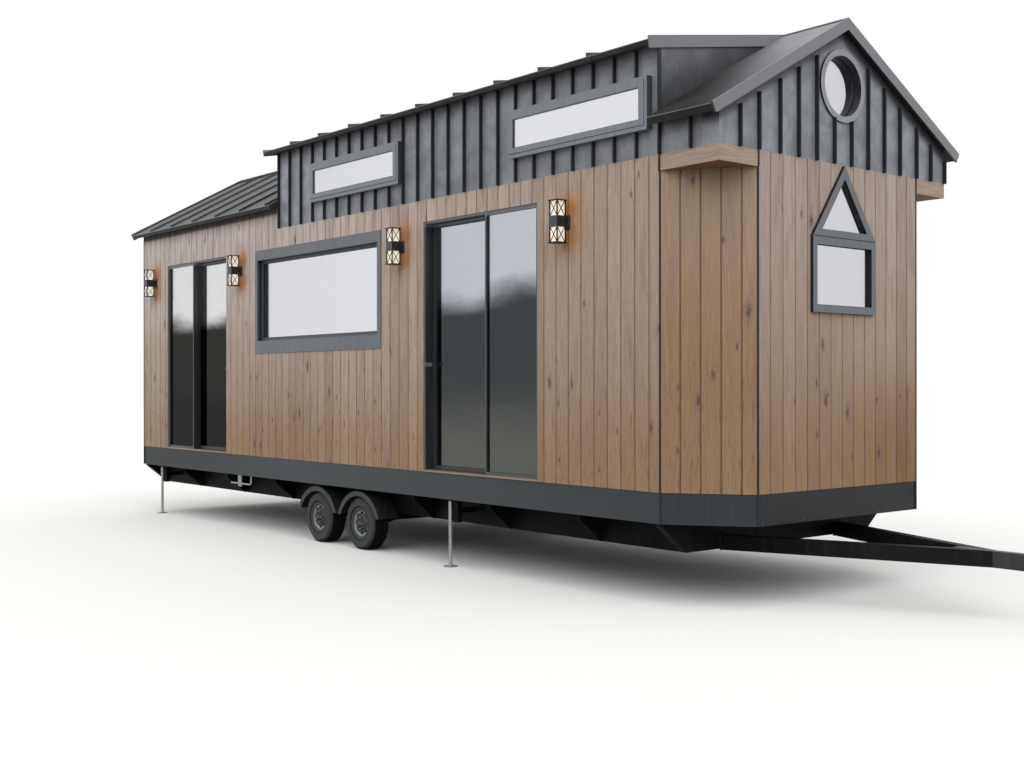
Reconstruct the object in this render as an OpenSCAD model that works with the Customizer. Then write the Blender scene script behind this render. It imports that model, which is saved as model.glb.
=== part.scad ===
/* [Body] */
// Width of the house over its cladding
body_w = 2500; // [2440:10:2550]
// Length from the front wall to the rear wall
body_l = 8580; // [8500:10:8700]
// Length of each cut-off front corner, along the side wall
cham_x = 500; // [450:5:540]
// Width of each cut-off front corner, across the front wall
cham_y = 367; // [340:1:400]
// Thickness of the walls, cladding included
wall_t = 140; // [135:1:150]

/* [Levels above the skirt's lower edge] */
// Height of the skirt, up to the floor and the door sills
skirt_h = 204; // [190:1:220]
// Top of the timber storey, where the metal cladding starts
storey_z = 2387; // [2370:1:2400]
// Underside of the loft floor and of the boxes over the cut corners
soffit_z = 2283; // [2270:1:2295]
// Top of the ridge
ridge_z = 3380; // [3350:5:3400]
// Height of the skirt's lower edge above the ground
ride_h = 535; // [525:1:545]

/* [Roofs] */
// Height of the low eaves, top edge
eave_z = 2617; // [2590:1:2630]
// Reach of the low eaves from the centre line
eave_y = 1378; // [1360:1:1400]
// Depth of the main roof, from the top of its seams down
roof_t = 60; // [50:1:70]
// How far the roof runs past the front wall
front_verge = 58; // [50:1:70]
// How far the roof runs past the rear wall
rear_verge = 80; // [60:1:100]
// Distance of the dormer's rear wall behind the front wall
dormer_l = 5450; // [5430:1:5460]
// Height of the dormer's eaves, top edge
dormer_eave_z = 3135; // [3120:1:3160]
// Reach of the dormer's eaves from the centre line
dormer_eave_y = 1365; // [1340:1:1380]
// Depth of the dormer's roof, from the top of its seams down
dormer_t = 56; // [50:1:58]

/* [Doors] */
// Width of both doorways
door_w = 1403; // [1390:1:1410]
// Height of the door heads
door_z = 2212; // [2190:1:2230]
// Distance of the front doorway behind the front wall
front_door_x = 1707; // [1690:1:1720]
// Distance of the rear doorway behind the front wall
rear_door_x = 6549; // [6540:1:6560]
// How far the sliding leaves stand open
slide_open = 0; // [0:10:560]

/* [Windows] */
// Width of the big window over its trim
big_window_w = 2205; // [2100:5:2230]
// Height of the big window over its trim
big_window_h = 1002; // [950:1:1010]
// Width of the small window in the plain side, over its trim
small_window_w = 1200; // [1000:10:1300]
// Height of the small window over its trim
small_window_h = 530; // [450:5:600]
// Width of the dormer windows over their trim
dormer_window_w = 1400; // [1300:5:1430]
// Height of the dormer windows over their trim
dormer_window_h = 349; // [340:1:360]
// Height of the round window's centre
round_z = 2923; // [2910:1:2930]
// Radius of the round window over its ring
round_r = 246; // [230:1:255]
// Width of the pointed window over its frame
point_w = 700; // [680:5:720]

/* [Running gear] */
// Tyre diameter
tyre_d = 460; // [450:1:470]
// Tyre width
tyre_w = 175; // [165:1:185]
// Distance of the front axle behind the front wall
front_axle_x = 4135; // [4050:5:4160]
// Distance between the two axles
axle_gap = 690; // [685:5:720]
// Radius of the mudguards, outside
guard_r = 350; // [340:1:355]
// Distance of the front props behind the front wall
front_prop_x = 2815; // [2700:5:2850]
// Distance of the rear props behind the front wall
rear_prop_x = 8200; // [8100:10:8250]

/* [Drawbar] */
// How far the coupling reaches ahead of the front wall
hitch_x = 1600; // [1580:10:1650]
// Where the outer faces of the two drawbar beams would meet
drawbar_tip = 1185; // [1150:5:1220]

/* [Hidden] */
$fn = 64;
cut = 5; // how far a cutter runs past the face it cuts
half_w = body_w / 2;
front_w = half_w - cham_y;
inner_w = half_w - wall_t;
mid_x = (hitch_x - body_l - rear_verge) / 2;
cham_a = atan(cham_y / cham_x);
// Mitre shift for each millimetre of inset, at the side and front corners
mitre_a = tan(cham_a / 2);
mitre_b = tan((90 - cham_a) / 2);

main_slope = (ridge_z - eave_z) / eave_y;
dormer_slope = (ridge_z - dormer_eave_z) / dormer_eave_y;
dormer_front = cham_x;
dormer_over_front = 15;
dormer_over_rear = 130;
cheek_t = 60;
// How far the roof sheets lie under the top of the verges and ridge caps: behind the front wall
// they are smooth, elsewhere standing seams fill the difference
front_deck = 6;
seam_h = 20;
front_cap = 30;
cap_w = 45;
verge_t = 15;
verge_h = 73;
dormer_verge_h = [80, 58];
// Play of the parts that bear on a slope or sit in a bead
seat = 0.1;

skirt_t = 15;
strip_t = 5;
strip_w = 14;
rear_gable_z = main_under(half_w);

// Window trims: face widths at the rear, front, head and sill, then how far they stand proud
big_trim = [46, 56, 96, 122, 10];
small_trim = [50, 50, 60, 60, 10];
dormer_trim = [40, 77, 66, 72, 50];
trim_lap = 25;
// Sashes: width, then how far the sash and its glass lie behind the wall's face
sash = [31, 38, 52];
dormer_sash = [4, -44, -38];
glass_t = 14;
big_window = [3722, 1207];
small_window = [3880, 1430];
dormer_windows = [[570, 2557], [3405, 2557]];
point_low = 1382;
point_shoulder = 1889;
point_tip = 2380;
point_proud = 28;
round_proud = 14;
round_face = 41;
round_glass_in = 50;

// Door frames stand in the wall; the fixed pane is in front of the sliding leaf
door_jamb = 15;
door_sill = 12;
door_out = 6;
fixed_in = 10;
fixed_t = 54;
fixed_w = 607;
leaf_in = 74;
leaf_t = 44;
leaf_over = 30;
run_gap = 6;
track = [4, 6];
track_slot = [16, 14];
pane_t = 20;
door_h = door_z - skirt_h;
leaf_x0 = -door_w / 2 + door_jamb + run_gap;
leaf_x1 = door_w / 2 - door_jamb - fixed_w + leaf_over;
// Frame faces of a leaf: outer stile, meeting stile, head, foot
fixed_faces = [12, 16, 12, 26];
leaf_faces = [44, 34, 28, 32];

lamp_s = 85;
lamp_h = 302;
lamp_y = 1335;
lamp_z = 2038;
lamp_beside = 310;
lamp_post = 8;
lamp_cap = 8;
lamp_mid = 78;
lamp_plate = 12;

rail_y = [940, 1000];
rail_z = -205;
rail_flange = 9;
rail_web = 7;
beam_t = 60;
beam_end = 20;
cross_x = [1300, 2300, 3300, 5600, 6600, 7600];
cross_w = 80;
cross_h = 120;

axle_x = [front_axle_x, front_axle_x + axle_gap];
axle_z = tyre_d / 2 - ride_h;
axle_tube = 70;
axle_set = 110;
arm_y = [975, 1003];
pad_t = 3;
tyre_out = 1210;
rim_r = 128;
hub_r = 25;
stub_play = 0.05;
guard_z = -25 - guard_r;
guard_end = -245;
guard_out = 1225;
guard_in = 1015;
guard_sheet = 5;
guard_lip = 42;
prop_x = [front_prop_x, rear_prop_x];
prop_y = 1205;
prop_r = 14;

bar_h = 100;
bar_top = -112;
bar_w = 70;
bar_slope = 0.397;
shank_z = bar_top - bar_h / 2;
shank_w = 60;
ball_r = 26;

// Corners of the floor plan, set in by i, from the rear of the door side round the front
function plan(i) = [
    [-body_l + i, -(half_w - i)], [-cham_x - i * mitre_a, -(half_w - i)],
    [-i, -(front_w - i * mitre_b)], [-i, front_w - i * mitre_b],
    [-cham_x - i * mitre_a, half_w - i], [-body_l + i, half_w - i]];
function wrap(k) = (k + 6) % 6;
function unit(a, b) = (b - a) / norm(b - a);
function right_of(d) = [d.y, -d.x];
// Undersides of the roofs, where the walls stop
function under(y, slope, t) = ridge_z - slope * abs(y) - (t + seat) * sqrt(1 + slope * slope);
function main_under(y) = under(y, main_slope, roof_t);
function dormer_under(y) = under(y, dormer_slope, dormer_t);

// Puts the house on its wheels, with the origin on the ground under the middle of its length
module place() { translate([-mid_x, 0, ride_h]) children(); }
module both_sides() {
    children();
    mirror([0, 1, 0]) children();
}
module both_ends() {
    children();
    mirror([1, 0, 0]) children();
}
module block(lo, hi) { translate(lo) cube(hi - lo); }
// A prism along X whose outline is given in Y and Z
module run_x(x0, x1) { translate([x0, 0, 0]) rotate([90, 0, 90]) linear_extrude(x1 - x0) children(); }
// A prism along Y whose outline is given in X and Z
module run_y(y0, y1) { translate([0, y1, 0]) rotate([90, 0, 0]) linear_extrude(y1 - y0) children(); }
// An upright band of thickness t along the plan, from corner k0 to corner k1
module band(k0, k1, t, z0, z1) {
    translate([0, 0, z0]) linear_extrude(z1 - z0) polygon(concat(
        [for (k = [k0 : k1]) plan(0)[wrap(k)]], [for (k = [k1 : -1 : k0]) plan(t)[wrap(k)]]));
}
module under_main_roof() {
    reach = half_w + cut;
    intersection() {
        children();
        run_x(-body_l - cut, cut) polygon([[-reach, 0], [-reach, main_under(reach)],
            [0, main_under(0)], [reach, main_under(reach)], [reach, 0]]);
    }
}
module between_x(x0, x1) {
    intersection() {
        children();
        block([x0, -half_w - cut, 0], [x1, half_w + cut, ridge_z]);
    }
}

// Ladder chassis of two channels, with outriggers under the side walls
module chassis_rails() {
    color("dimgray") both_sides() run_x(-body_l + beam_end + beam_t, -cham_x - beam_t) difference() {
        translate([rail_y[0], rail_z]) square([rail_y[1] - rail_y[0], -rail_z]);
        translate([rail_y[0] - cut, rail_z + rail_flange])
            square([rail_y[1] - rail_y[0] + cut - rail_web, -rail_z - 2 * rail_flange]);
    }
}
module cross_members() {
    outrigger_t = 12;
    outrigger_tip = 40;
    color("dimgray") for (x = cross_x) {
        run_y(-rail_y[0] + 1, rail_y[0] - 1) difference() {
            translate([-x - cross_w / 2, -cross_h]) square([cross_w, cross_h]);
            translate([-x - cross_w / 2 + rail_web, rail_flange - cross_h])
                square([cross_w, cross_h - 2 * rail_flange]);
        }
        both_sides() run_x(-x - outrigger_t / 2, -x + outrigger_t / 2) polygon([[rail_y[1], 0],
            [half_w - 2 * skirt_t, 0], [half_w - 2 * skirt_t, -outrigger_tip],
            [rail_y[1] + 20, rail_z], [rail_y[1], rail_z]]);
    }
}
module end_beam(x) {
    run_x(x, x + beam_t) polygon([[-half_w + 10, 0], [half_w - 10, 0], [half_w - 10, -12],
        [rail_y[1], rail_z], [-rail_y[1], rail_z], [-half_w + 10, -12]]);
}
module end_beams() {
    color("dimgray") {
        end_beam(-cham_x - beam_t);
        end_beam(-body_l + beam_end);
    }
}

// A-frame drawbar and its ball coupling on a shank: the ball enters the cup from below
module drawbar() {
    start_y = (drawbar_tip + cham_x) * bar_slope;
    across = bar_w * sqrt(1 + bar_slope * bar_slope);
    tip_y = shank_w / 2;
    color("dimgray") both_sides() translate([0, 0, bar_top - bar_h]) linear_extrude(bar_h) polygon([
        [-cham_x, -start_y], [drawbar_tip - tip_y / bar_slope, -tip_y],
        [drawbar_tip - (tip_y + across) / bar_slope, -tip_y], [-cham_x, -start_y + across]]);
}
module coupling_head() {
    ball_x = hitch_x - 45;
    neck_x = ball_x - 210;
    cup_r = 42;
    neck_w = 34;
    low = shank_z - 26;
    top = shank_z + 30;
    color("gray") {
        difference() {
            union() {
                block([drawbar_tip - 340, -shank_w / 2, bar_top - bar_h],
                    [neck_x, shank_w / 2, bar_top]);
                block([neck_x - 12, -42, bar_top - bar_h], [neck_x, 42, bar_top]);
                translate([0, 0, low]) linear_extrude(top - low) {
                    translate([ball_x, 0]) circle(r = cup_r);
                    polygon([[neck_x, -neck_w], [ball_x, 2 - cup_r], [ball_x, cup_r - 2],
                        [neck_x, neck_w]]);
                }
                translate([ball_x, 0, top]) rotate_extrude() polygon([[0, 0], [cup_r - 2, 0],
                    [cup_r - 7, 9], [cup_r - 18, 15], [0, 18]]);
            }
            translate([ball_x, 0, low - cut]) cylinder(r = ball_r, h = shank_z - 4 - low + cut);
            translate([ball_x, 0, shank_z - 4]) sphere(r = ball_r);
        }
        run_y(-11, 11) polygon([[ball_x - 150, top - 1], [ball_x - 52, top - 1],
            [ball_x - 52, top + 26], [ball_x - 140, top + 62], [ball_x - 205, top + 70],
            [ball_x - 208, top + 60], [ball_x - 150, top + 48]]);
    }
}

// Axles: a cross tube, trailing arms and the stubs that the wheels turn on
module axles() {
    tube_z = rail_z - pad_t;
    color("dimgray") for (x = axle_x) translate([-x, 0, 0]) {
        block([axle_set, -arm_y[0], tube_z - axle_tube], [axle_set + axle_tube, arm_y[0], tube_z]);
        both_sides() {
            block([axle_set - 20, rail_y[0], tube_z], [axle_set + axle_tube + 20, arm_y[1], rail_z]);
            run_y(arm_y[0], arm_y[1]) polygon([[-30, axle_z - 30], [30, axle_z - 30],
                [axle_set + axle_tube + 10, tube_z - axle_tube],
                [axle_set + axle_tube + 10, tube_z], [axle_set - 10, tube_z], [-30, axle_z + 30]]);
            translate([0, arm_y[1], axle_z]) rotate([-90, 0, 0])
                cylinder(r = hub_r - stub_play, h = tyre_out - 20 - arm_y[1]);
        }
    }
}
// Wheel parts are drawn with their axis along Z and the outer face at Z = 0
module wheel_place(x, side) {
    translate([-x, 0, axle_z]) mirror([0, side < 0 ? 1 : 0, 0]) translate([0, tyre_out, 0])
        rotate([90, 0, 0]) children();
}
module tyre(x, side) {
    r = tyre_d / 2;
    groove = [7, 6];
    groove_pitch = 34;
    color("dimgray") wheel_place(x, side) difference() {
        rotate_extrude($fn = 96) polygon([[rim_r + seat, 16 + 2 * seat],
            [rim_r + 7 + seat, 13 + 2 * seat], [rim_r + 7 + seat, 8], [rim_r + 14, 7],
            [rim_r + 18, 3], [rim_r + 40, 0], [r - 34, 2], [r - 14, 10], [r - 3, 22], [r, 34],
            [r, tyre_w - 34], [r - 3, tyre_w - 22], [r - 14, tyre_w - 10], [r - 34, tyre_w - 2],
            [rim_r + 40, tyre_w], [rim_r + 14, tyre_w - 7], [rim_r + 7 + seat, tyre_w - 8],
            [rim_r + 7 + seat, tyre_w - 13 - 2 * seat], [rim_r + seat, tyre_w - 16 - 2 * seat]]);
        for (i = [-1 : 1]) translate([0, 0, tyre_w / 2 + i * groove_pitch - groove[0] / 2])
            rotate_extrude($fn = 96) translate([r - groove[1], 0]) square([groove[1] + cut, groove[0]]);
    }
}
module rim(x, side) {
    vents = 8;
    vent_r = [83, 101];
    vent_arc = 26;
    nut_circle = 50;
    color("gray") wheel_place(x, side) {
        difference() {
            rotate_extrude($fn = 96) polygon([[hub_r, 22], [38, 20], [62, 20], [70, 28], [80, 32],
                [104, 28], [116, 14], [122, 10], [rim_r + 7, 8], [rim_r + 7, 13], [rim_r, 16],
                [rim_r, tyre_w - 16], [rim_r + 7, tyre_w - 13], [rim_r + 7, tyre_w - 8],
                [122, tyre_w - 10], [122, 44], [104, 42], [80, 46], [70, 44], [60, 60], [hub_r, 60]]);
            for (i = [0 : vents - 1]) rotate([0, 0, 360 / vents * i - vent_arc / 2])
                rotate_extrude(angle = vent_arc) translate([vent_r[0], 10])
                    square([vent_r[1] - vent_r[0], 50]);
        }
        rotate_extrude() polygon([[0, 4], [20, 6], [28, 12], [30, 22], [hub_r, 22], [hub_r, 15], [0, 15]]);
        for (i = [0 : 4]) rotate([0, 0, 72 * i]) translate([nut_circle, 0, 10])
            cylinder(r = 9, h = 12, $fn = 6);
    }
}
module mudguards() {
    stay = [20, 30];
    color("dimgray") both_sides() for (x = axle_x) translate([-x, 0, 0]) difference() {
        union() {
            translate([0, guard_out, guard_z]) rotate([90, 0, 0]) difference() {
                cylinder(r = guard_r, h = guard_out - guard_in, $fn = 120);
                translate([0, 0, -cut]) cylinder(r = guard_r - guard_lip, h = 8 + cut, $fn = 120);
                translate([0, 0, 6]) cylinder(r = guard_r - guard_sheet, h = 300, $fn = 120);
            }
            both_ends() block([60, 1040, guard_z + guard_r - 12], [60 + stay[1], 1080, 0]);
        }
        block([-guard_r - cut, 999, guard_z - guard_r - cut],
            [guard_r + cut, guard_out + cut, guard_end]);
    }
}

// Corner props: a tube with a foot, in two saddles of a split bracket on an arm from the rail
module corner_props() {
    color("silver") both_sides() for (x = prop_x) translate([-x, prop_y, 0]) {
        translate([0, 0, 8 - ride_h]) cylinder(r = prop_r, h = ride_h - 25);
        translate([0, 0, -ride_h]) cylinder(r = 55, h = 8);
        translate([0, 0, 8 - ride_h]) cylinder(r1 = 30, r2 = prop_r, h = 14, $fn = 48);
    }
}
module prop_brackets() {
    box_h = 165;
    split = 5;
    color("dimgray") both_sides() for (x = prop_x) translate([-x, prop_y, 0]) {
        block([prop_r + 1, -50, -16 - box_h], [prop_r + 71, -8, -16 - box_h / 2 - split / 2]);
        block([prop_r + 1, -50, -16 - box_h / 2 + split / 2], [prop_r + 71, -8, -16]);
        block([prop_r + 20, -46, -16 - box_h / 2 - split / 2],
            [prop_r + 52, -14, -16 - box_h / 2 + split / 2]);
        for (z = [-48, -150]) difference() {
            block([-prop_r - 6, -24, z - 11], [prop_r + 1, -3, z + 11]);
            translate([0, 0, z - 11 - cut]) cylinder(r = prop_r, h = 22 + 2 * cut);
        }
        block([prop_r + 20, rail_y[1] - prop_y, -110], [prop_r + 52, -50, -70]);
    }
}
// Bent steel bar that hangs on a plate under the skirt
module side_bar() {
    bar_r = 9;
    bend_r = 40;
    run = 380;
    color("silver") translate([-6540, -1200, -92]) {
        rotate([0, 90, 0]) cylinder(r = bar_r, h = run);
        translate([run, 0, bend_r]) rotate([90, 0, 0]) rotate([0, 0, -90]) rotate_extrude(angle = 90)
            translate([bend_r, 0]) circle(r = bar_r);
        translate([run + bend_r, 0, bend_r]) cylinder(r = bar_r, h = 92 - bend_r);
        block([130, bar_r - 4, -30], [200, bar_r + 6, 92]);
    }
}

// Floors and skirts
module floor() {
    color("tan") linear_extrude(skirt_h) polygon(plan(skirt_t));
}
module loft_floor() {
    p = plan(wall_t);
    color("tan") translate([0, 0, soffit_z]) linear_extrude(storey_z - soffit_z) polygon([
        [-dormer_l, p[0].y], p[1], p[2], p[3], p[4], [-dormer_l, p[5].y]]);
}
module side_skirts() {
    color("slategray") {
        band(0, 1, skirt_t, 0, skirt_h);
        band(4, 5, skirt_t, 0, skirt_h);
    }
}
module end_skirts() {
    color("slategray") {
        band(1, 4, skirt_t, 0, skirt_h);
        band(5, 6, skirt_t, 0, skirt_h);
    }
}

// Timber storey
module window_hole(at, w, h) {
    block([-at.x - w + trim_lap, inner_w - cut, at.y + trim_lap],
        [-at.x - trim_lap, half_w + cut, at.y + h - trim_lap]);
}
module side_wall(k) {
    between_x(-dormer_l, 0) band(k, k + 1, wall_t, skirt_h, storey_z);
    between_x(-body_l, -dormer_l) under_main_roof() band(k, k + 1, wall_t, skirt_h, ridge_z);
}
module door_side_wall() {
    color("burlywood") difference() {
        side_wall(0);
        for (x = [front_door_x, rear_door_x])
            block([-x - door_w, -half_w - cut, skirt_h - cut], [-x, cut - inner_w, ridge_z]);
        mirror([0, 1, 0]) window_hole(big_window, big_window_w, big_window_h);
    }
}
module door_heads() {
    color("burlywood") for (x = [front_door_x, rear_door_x]) intersection() {
        side_wall(0);
        block([-x - door_w, -half_w - cut, door_z], [-x, cut - inner_w, ridge_z]);
    }
}
module plain_side_wall() {
    color("burlywood") difference() {
        side_wall(4);
        window_hole(small_window, small_window_w, small_window_h);
    }
}
module front_wall() {
    color("burlywood") difference() {
        band(2, 3, wall_t, skirt_h, storey_z);
        run_x(-wall_t - cut, cut) pointed_outline(trim_lap);
    }
}
module corner_walls() {
    color("burlywood") {
        band(1, 2, wall_t, skirt_h, storey_z);
        band(3, 4, wall_t, skirt_h, storey_z);
    }
}
module corner_boxes() {
    color("burlywood") both_sides() translate([0, 0, soffit_z]) linear_extrude(storey_z - soffit_z)
        polygon([[-cham_x, half_w], [0, half_w], [0, front_w]]);
}
module rear_wall() {
    color("burlywood") band(5, 6, wall_t, skirt_h, rear_gable_z);
}

// Metal storey
module rear_gable() {
    color("lightslategray") under_main_roof() band(5, 6, wall_t, rear_gable_z, ridge_z);
}
module gable_wall() {
    color("lightslategray") difference() {
        run_x(-wall_t, 0) polygon([[-half_w, storey_z], [-half_w, main_under(half_w)],
            [0, main_under(0)], [half_w, main_under(half_w)], [half_w, storey_z]]);
        translate([-wall_t - cut, 0, round_z]) rotate([0, 90, 0])
            cylinder(r = round_r - trim_lap, h = wall_t + 2 * cut);
    }
}
module upper_side_walls() {
    color("lightslategray") both_sides() difference() {
        union() {
            run_x(-dormer_l, -dormer_front) polygon([[inner_w, storey_z], [half_w, storey_z],
                [half_w, dormer_under(half_w)], [inner_w, dormer_under(inner_w)]]);
            run_x(-dormer_front, -wall_t) polygon([[inner_w, storey_z], [half_w, storey_z],
                [half_w, main_under(half_w)], [inner_w, main_under(inner_w)]]);
        }
        for (at = dormer_windows) window_hole(at, dormer_window_w, dormer_window_h);
    }
}
module dormer_cheek(x0) {
    run_x(x0, x0 + cheek_t) polygon([[-inner_w, main_under(inner_w)],
        [-inner_w, dormer_under(inner_w)], [0, dormer_under(0)], [inner_w, dormer_under(inner_w)],
        [inner_w, main_under(inner_w)], [0, main_under(0)]]);
}
module dormer_cheeks() {
    color("lightslategray") {
        dormer_cheek(-dormer_front - cheek_t);
        dormer_cheek(-dormer_l);
    }
}

// Roof outline from its reach and slope, between two depths below the top of the verges
module roof_profile(reach, slope, upper, lower) {
    pitch = atan(slope);
    tip = [reach, ridge_z - slope * reach];
    down = [sin(pitch), cos(pitch)];
    a = tip - upper * down;
    b = tip - lower * down;
    polygon([[0, ridge_z - upper / cos(pitch)], a, b, [0, ridge_z - lower / cos(pitch)],
        [-b.x, b.y], [-a.x, a.y]]);
}
module main_profile(upper, lower) { roof_profile(eave_y, main_slope, upper, lower); }
module dormer_profile(upper, lower) { roof_profile(dormer_eave_y, dormer_slope, upper, lower); }
// Takes away what would run into the main roof in front of the dormer and behind it
module clear_of_main_roof() {
    depth = 300;
    difference() {
        children();
        run_x(-dormer_l - depth, -dormer_l) main_profile(seam_h - seat, depth);
        run_x(-dormer_front, -dormer_front + depth) main_profile(front_deck - seat, depth);
    }
}
module front_roof() {
    color("darkslategray") run_x(-dormer_front, front_verge - verge_t)
        main_profile(front_deck, roof_t);
}
module rear_roof() {
    color("darkslategray") run_x(-body_l - rear_verge + verge_t, -dormer_l)
        main_profile(seam_h, roof_t);
}
module dormer_roof() {
    color("darkslategray") clear_of_main_roof()
        run_x(-dormer_l - dormer_over_rear + verge_t, -dormer_front + dormer_over_front - verge_t)
            dormer_profile(seam_h, dormer_t);
}
module ridge_caps() {
    color("dimgray") {
        run_x(-dormer_front + dormer_over_front, front_verge - verge_t)
            roof_profile(front_cap, main_slope, 0, front_deck - seat);
        run_x(-dormer_l - dormer_over_rear + verge_t, -dormer_front + dormer_over_front - verge_t)
            roof_profile(cap_w, dormer_slope, 0, seam_h - seat);
        run_x(-body_l - rear_verge + verge_t, -dormer_l - dormer_over_rear)
            roof_profile(cap_w, main_slope, 0, seam_h - seat);
    }
}
module verge_boards() {
    color("gray") {
        for (x = [front_verge - verge_t, -body_l - rear_verge])
            run_x(x, x + verge_t) main_profile(0, verge_h);
        clear_of_main_roof() {
            run_x(-dormer_front + dormer_over_front - verge_t, -dormer_front + dormer_over_front)
                dormer_profile(0, dormer_verge_h[0]);
            run_x(-dormer_l - dormer_over_rear, -dormer_l - dormer_over_rear + verge_t)
                dormer_profile(0, dormer_verge_h[1]);
        }
    }
}
module corner_strip(k, z1) {
    p = plan(0);
    d1 = unit(p[wrap(k - 1)], p[k]);
    d2 = unit(p[k], p[wrap(k + 1)]);
    a = p[k] - strip_w * d1;
    c = p[k] + strip_w * d2;
    linear_extrude(z1) polygon([a, p[k], c, c + strip_t * right_of(d2), plan(-strip_t)[k],
        a + strip_t * right_of(d1)]);
}
module corner_strips() {
    color("dimgray") {
        for (k = [1 : 4]) corner_strip(k, soffit_z);
        for (k = [0, 5]) corner_strip(k, rear_gable_z - 26);
    }
}

// Window frames: a trim outside, a sash in the reveal or right behind the trim, and its glass
module side_window_frame(at, w, h, trim, sash) {
    lo = [-at.x - w, at.y];
    hi = [-at.x, at.y + h];
    in_lo = lo + [trim[0], trim[3]];
    in_hi = hi - [trim[1], trim[2]];
    difference() {
        union() {
            block([lo.x, half_w, lo.y], [hi.x, half_w + trim[4], hi.y]);
            block([lo.x + trim_lap, inner_w, lo.y + trim_lap],
                [hi.x - trim_lap, half_w, hi.y - trim_lap]);
        }
        block([in_lo.x, half_w - sash[1], in_lo.y], [in_hi.x, half_w + trim[4] + cut, in_hi.y]);
        block([in_lo.x + sash[0], inner_w - cut, in_lo.y + sash[0]],
            [in_hi.x - sash[0], half_w - sash[1] + cut, in_hi.y - sash[0]]);
        side_pane(at, w, h, trim, sash);
    }
}
module side_pane(at, w, h, trim, sash) {
    rebate = 10;
    edge = sash[0] - rebate;
    block([-at.x - w + trim[0] + edge, half_w - sash[2] - glass_t, at.y + trim[3] + edge],
        [-at.x - trim[1] - edge, half_w - sash[2], at.y + h - trim[2] - edge]);
}
module big_window_frames() {
    color("slategray") {
        mirror([0, 1, 0]) side_window_frame(big_window, big_window_w, big_window_h, big_trim, sash);
        side_window_frame(small_window, small_window_w, small_window_h, small_trim, sash);
    }
}
module dormer_window_frames() {
    color("slategray") both_sides() for (at = dormer_windows)
        side_window_frame(at, dormer_window_w, dormer_window_h, dormer_trim, dormer_sash);
}
// Outline of the pointed window, set in by i
module pointed_outline(i) {
    half = point_w / 2;
    rise = (point_tip - point_shoulder) / half;
    down = i * (sqrt(1 + rise * rise) - rise);
    polygon([[-half + i, point_low + i], [half - i, point_low + i],
        [half - i, point_shoulder - down], [0, point_tip - i * sqrt(1 + rise * rise)],
        [-half + i, point_shoulder - down]]);
}
module pointed_lights() {
    polygon([[-250, point_shoulder + 48], [250, point_shoulder + 48], [0, 2291]]);
    translate([-305, point_low + 51]) square([610, 401]);
}
module pointed_window_frame() {
    color("slategray") difference() {
        union() {
            run_x(0, point_proud) pointed_outline(0);
            run_x(-wall_t, 0) pointed_outline(trim_lap);
        }
        run_x(-wall_t - cut, point_proud + cut) pointed_lights();
    }
}
module round_window_frame() {
    color("slategray") translate([0, 0, round_z]) rotate([0, 90, 0]) difference() {
        union() {
            cylinder(r = round_r, h = round_proud);
            translate([0, 0, -wall_t]) cylinder(r = round_r - trim_lap, h = wall_t);
        }
        translate([0, 0, -wall_t - cut]) cylinder(r = round_r - round_face, h = wall_t + 40);
    }
}
module window_glass() {
    color("lightblue") {
        mirror([0, 1, 0]) side_pane(big_window, big_window_w, big_window_h, big_trim, sash);
        side_pane(small_window, small_window_w, small_window_h, small_trim, sash);
        both_sides() for (at = dormer_windows)
            side_pane(at, dormer_window_w, dormer_window_h, dormer_trim, dormer_sash);
        run_x(-glass_t, 0) pointed_lights();
        translate([-round_glass_in - glass_t, 0, round_z]) rotate([0, 90, 0])
            cylinder(r = round_r - round_face, h = glass_t);
        for (x = [front_door_x, rear_door_x]) in_doorway(x) fixed_pane_place()
            leaf_glass(fixed_w, fixed_h, fixed_faces, fixed_t);
    }
}

// Sliding doors, drawn with X = 0 in the middle of the doorway, Y = 0 at the wall's face and the
// fixed pane towards +X; the rear doorway is the mirror image of the front one
module in_doorway(x) {
    translate([-x - door_w / 2, -half_w, skirt_h]) mirror([x == rear_door_x ? 1 : 0, 0, 0]) children();
}
module door_frames() {
    nose = [8, 10];
    color("dimgray") for (x = [front_door_x, rear_door_x]) in_doorway(x) {
        difference() {
            block([-door_w / 2, door_out, 0], [door_w / 2, wall_t, door_h]);
            block([-door_w / 2 + door_jamb, 0, door_sill],
                [door_w / 2 - door_jamb, wall_t + cut, door_h - door_jamb]);
        }
        block([-door_w / 2, -nose[0], 0], [door_w / 2, door_out, nose[1]]);
        for (z = [door_sill, door_h - door_jamb - track[1]])
            block([leaf_x0, leaf_in + (leaf_t - track[0]) / 2, z],
                [door_w / 2 - door_jamb, leaf_in + (leaf_t + track[0]) / 2, z + track[1]]);
    }
}
fixed_h = door_h - door_sill - door_jamb;
leaf_h = fixed_h - 2 * run_gap;
leaf_w = leaf_x1 - leaf_x0;
module fixed_pane_place() {
    translate([door_w / 2 - door_jamb, fixed_in, door_sill]) mirror([1, 0, 0]) children();
}
// A leaf starts at its outer stile; faces gives its stiles, head and foot
module leaf_frame(w, h, faces, t) {
    difference() {
        cube([w, t, h]);
        translate([faces[0], -cut, faces[3]])
            cube([w - faces[0] - faces[1], t + 2 * cut, h - faces[2] - faces[3]]);
    }
}
module leaf_glass(w, h, faces, t) {
    translate([faces[0], (t - pane_t) / 2, faces[3]])
        cube([w - faces[0] - faces[1], pane_t, h - faces[2] - faces[3]]);
}
module fixed_leaves() {
    color("dimgray") for (x = [front_door_x, rear_door_x])
        in_doorway(x) fixed_pane_place() leaf_frame(fixed_w, fixed_h, fixed_faces, fixed_t);
}
module sliding_place(x) {
    in_doorway(x) translate([leaf_x0 + slide_open, leaf_in, door_sill + run_gap]) children();
}
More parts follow.
